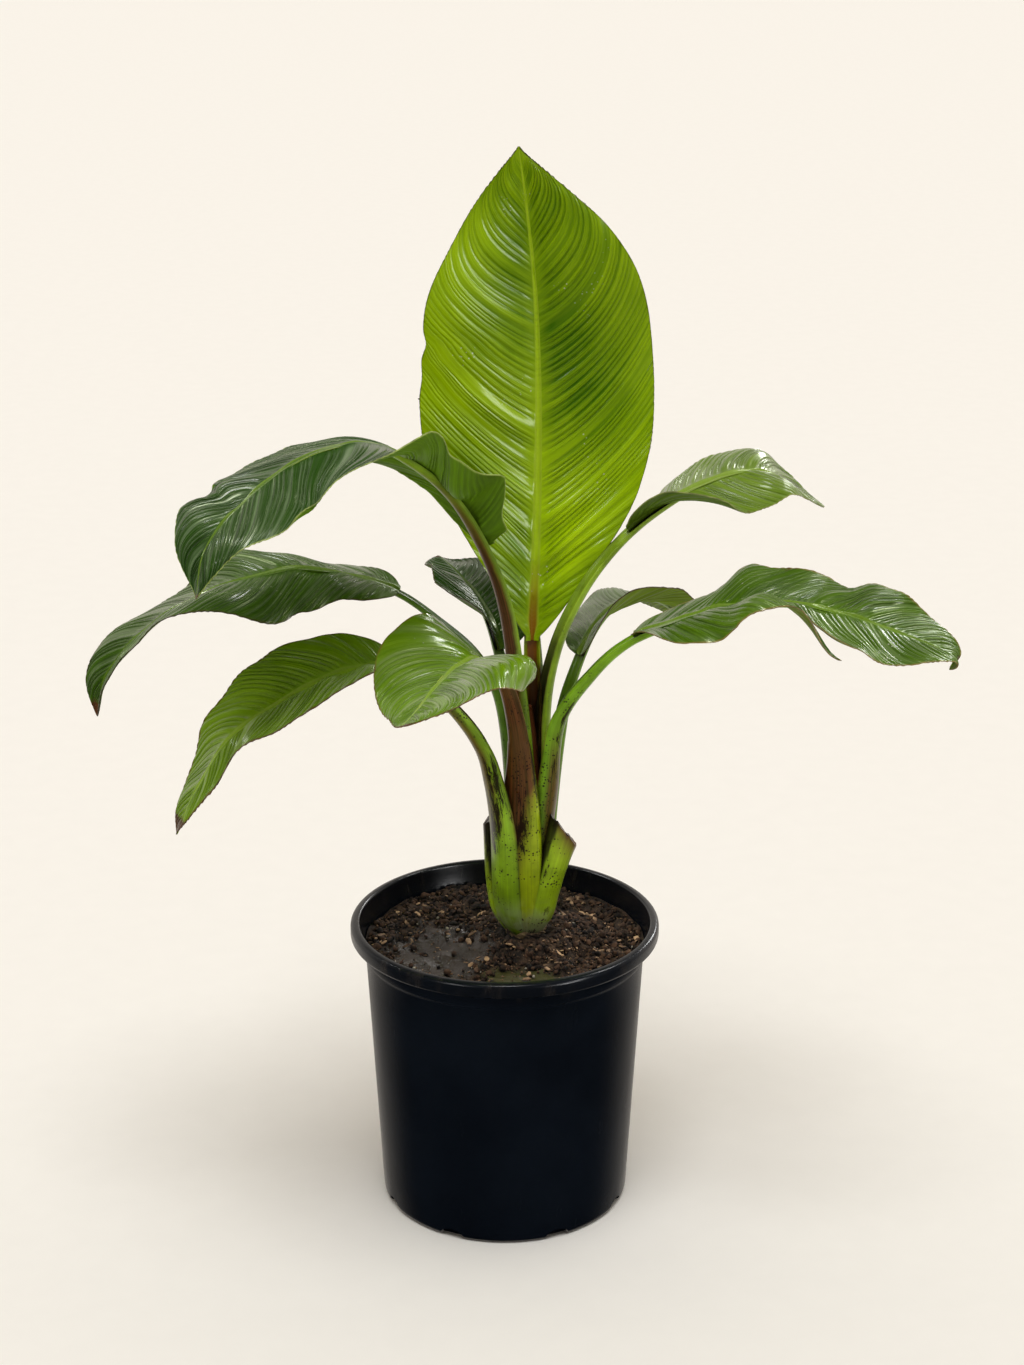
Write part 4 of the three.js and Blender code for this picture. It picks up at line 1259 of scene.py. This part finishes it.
def scatter(name, pattern, grain, material, seed):
    dice = np.random.default_rng(seed)
    places, faces = pattern
    footX, footY, _ = stem["foot"]
    allPlaces, allFaces = [], []
    while len(allFaces) < grain["count"]:
        radius = grain["reach"] * math.sqrt(dice.uniform(0, 1))
        angle = dice.uniform(0, 2 * math.pi)
        x, y = radius * math.cos(angle), radius * math.sin(angle)
        size = grain["least"] + (grain["most"] - grain["least"]) * dice.uniform() ** 2.2
        near = math.hypot(x - footX, y - footY) < stem["clearRadius"] + size / 2
        wet = float(wetness(x, y))
        if near or dice.uniform() < wet * grain["avoidsWet"]:
            continue
        turn = Euler(dice.uniform(0, 2 * math.pi, 3)).to_matrix() if grain["tumbled"] else (
            Euler((dice.uniform(-0.5, 0.5), dice.uniform(-0.5, 0.5), dice.uniform(0, 6.28))).to_matrix())
        form = places * np.array(grain["form"]) * (1 + dice.uniform(-0.3, 0.3, 3)) * size / 2
        form *= 1 + dice.uniform(-0.16, 0.16, (len(places), 1))
        base = float(soilHeight(np.array(x), np.array(y))) + grain["proud"] * size
        placed = form @ np.array(turn).T + [x, y, base]
        allFaces.append(np.array(faces) + len(allFaces) * len(places))
        allPlaces.append(placed)
    merged = np.concatenate(allPlaces) * mm
    grains = meshPiece(name, merged, np.concatenate(allFaces).tolist(), 30)
    dressed(grains, material)
    return settle(grains, "soil")


def grainSkin(name, dark, light, roughness, scale):
    skin, shader = newMaterial(name)
    place = objectPlace(skin)
    patch = noiseOn(place, scale, 3, 0.6)
    colour = mixed(ramped(patch, 0.35, 0.65), dark, light)
    # painted shade darkens the grains where they touch the soil and one another
    colour = paintedCreaseShade(colour, 0.005, (9, 6, 4))
    finish(shader, colour, roughness, bumped(noiseOn(place, 700.0, 3), 0.5, 0.0008))
    return skin


makeSoil()
lump = shapeOf("ico_sphere", subdivisions=1, radius=1)
bigLump = shapeOf("ico_sphere", subdivisions=2, radius=1)
grainColumns = ("count", "reach", "least", "most", "avoidsWet", "tumbled", "form", "proud")
soilGrains = {  # the pattern, the settings, then the skin's name, colours, roughness and scale
    "soilClods": (bigLump, (2400, 133, 1.6, 7.5, 0.93, True, (1, 1, 0.8), 0.16),
                  ("clodEarth", (22, 14, 10), (100, 72, 52), 0.9, 90.0)),
    "soilFines": (lump, (3200, 134, 0.9, 3.0, 0.85, True, (1, 1, 0.8), 0.4),
                  ("fineEarth", (30, 21, 15), (172, 136, 104), 0.9, 90.0)),
    "barkChips": (lump, (380, 130, 2, 11, 0.5, False, (1, 0.5, 0.26), 0.2),
                  ("barkWood", (84, 54, 34), (226, 186, 142), 0.8, 45.0)),
    "paleGrit": (lump, (70, 130, 1.4, 3.6, 0.3, True, (1, 0.9, 0.8), 0.45),
                 ("gritStone", (176, 166, 148), (226, 220, 206), 0.75, 90.0)),
}
for seed, (name, (pattern, settings, look)) in enumerate(soilGrains.items(), 3):
    scatter(name, pattern, dict(zip(grainColumns, settings)), grainSkin(*look), seed)
print("soil filled")

studio = {
    "floorSize": 80,
    "floorColour": (246, 244, 239),
    "floorMottle": 0.985,
    "backColour": (255, 246, 234),
    "backStrength": 0.65,
    "roomStrength": 0.66,
    "backdrop": 0.9,
    "roomGloss": 0.16,  # share of the room that shows in gloss
    "cameraPlace": (0.0071, -2.312, 1.344),
    "cameraTilt": 70.66,
    "lens": 68.57,
}

suns = {  # where the light comes from, its spread in degrees, its strength, whether it lights or only glints
    "keySun": ((0.02, -0.33, 1), 32, 1.58, True),
    "topGlint": ((0.02, -0.33, 1), 12, 0.4, False),
    "leftHighGlint": ((-0.57, 0.2, 0.73), 9, 0.7, False),
    "rightHighGlint": ((0.5, 0.25, 0.75), 9, 0.45, False),
    "rightBackGlint": ((0.48, 0.78, 0.42), 10, 0.5, False),
    "rightLowGlint": ((0.7, -0.7, 0.1), 14, 0.7, False),
    "leftFrontGlint": ((-0.56, -0.75, 0.5), 8, 0.3, False),
    "rightFrontGlint": ((0.75, -0.5, 0.45), 8, 0.3, False),
}


def layFloor():
    deselectAll()
    bpy.ops.mesh.primitive_plane_add(size=studio["floorSize"], location=(0, 0, 0))
    floor = bpy.context.object
    floor.name = "studioFloor"
    skin, shader = newMaterial("floorPaper")
    paper = noiseOn(objectPlace(skin), 30.0, 3)
    tint = tuple(studio["floorMottle"] * part for part in studio["floorColour"])
    colour = mixed(paper, tint, studio["floorColour"])
    finish(shader, colour, 0.9, specular=0.0)
    dressed(floor, skin)
    floor.visible_glossy = False  # keeps a pale veil off the dark leaves and the pot


def hangSuns():
    for name, (source, spread, strength, lights) in suns.items():
        sun = bpy.data.lights.new(name, "SUN")
        sun.angle = math.radians(spread)
        sun.energy = strength
        holder = bpy.data.objects.new(name, sun)
        bpy.context.scene.collection.objects.link(holder)
        holder.rotation_euler = Vector(source).to_track_quat("Z", "Y").to_euler()
        holder.visible_diffuse = lights
        holder.visible_glossy = not lights


def lightRoom():  # a bright wall behind, up to its top, in a dim room
    world = bpy.data.worlds.new("studioRoom")
    world.use_nodes = True
    sky = world.node_tree.nodes["Background"]
    sky.inputs["Color"].default_value = swatch(*studio["backColour"])
    generated = world.node_tree.nodes.new("ShaderNodeTexCoord").outputs["Generated"]
    _, backward, upward = split(generated)
    wall = times(ramped(backward, 0.0, 0.6), ramped(upward, 0.35, 0.7, 1.0, 0.0))
    room = ramped(upward, -0.1, 0.15, 0.1 * studio["roomStrength"], studio["roomStrength"])
    room = times(room, ramped(backward, -0.6, 0.2, 0.4, 1.0))
    rays = world.node_tree.nodes.new("ShaderNodeLightPath")
    room = times(room, ramped(rays.outputs["Is Glossy Ray"], 0.0, 1.0, 1.0, studio["roomGloss"]))
    strength = scaled(wall, studio["backStrength"], room)
    backdrop = times(rays.outputs["Is Camera Ray"], studio["backdrop"])
    strength = larger(strength, backdrop)
    wire(strength, sky.inputs["Strength"])
    bpy.context.scene.world = world
    bpy.context.scene.view_settings.view_transform = "Standard"


def placeCamera():
    lens = bpy.data.cameras.new("studioCamera")
    lens.lens = studio["lens"]
    camera = bpy.data.objects.new("studioCamera", lens)
    camera.location = studio["cameraPlace"]
    camera.rotation_euler = (math.radians(studio["cameraTilt"]), 0, 0)
    bpy.context.scene.collection.objects.link(camera)
    bpy.context.scene.camera = camera


layFloor()
hangSuns()
lightRoom()
placeCamera()
print("studio lit")
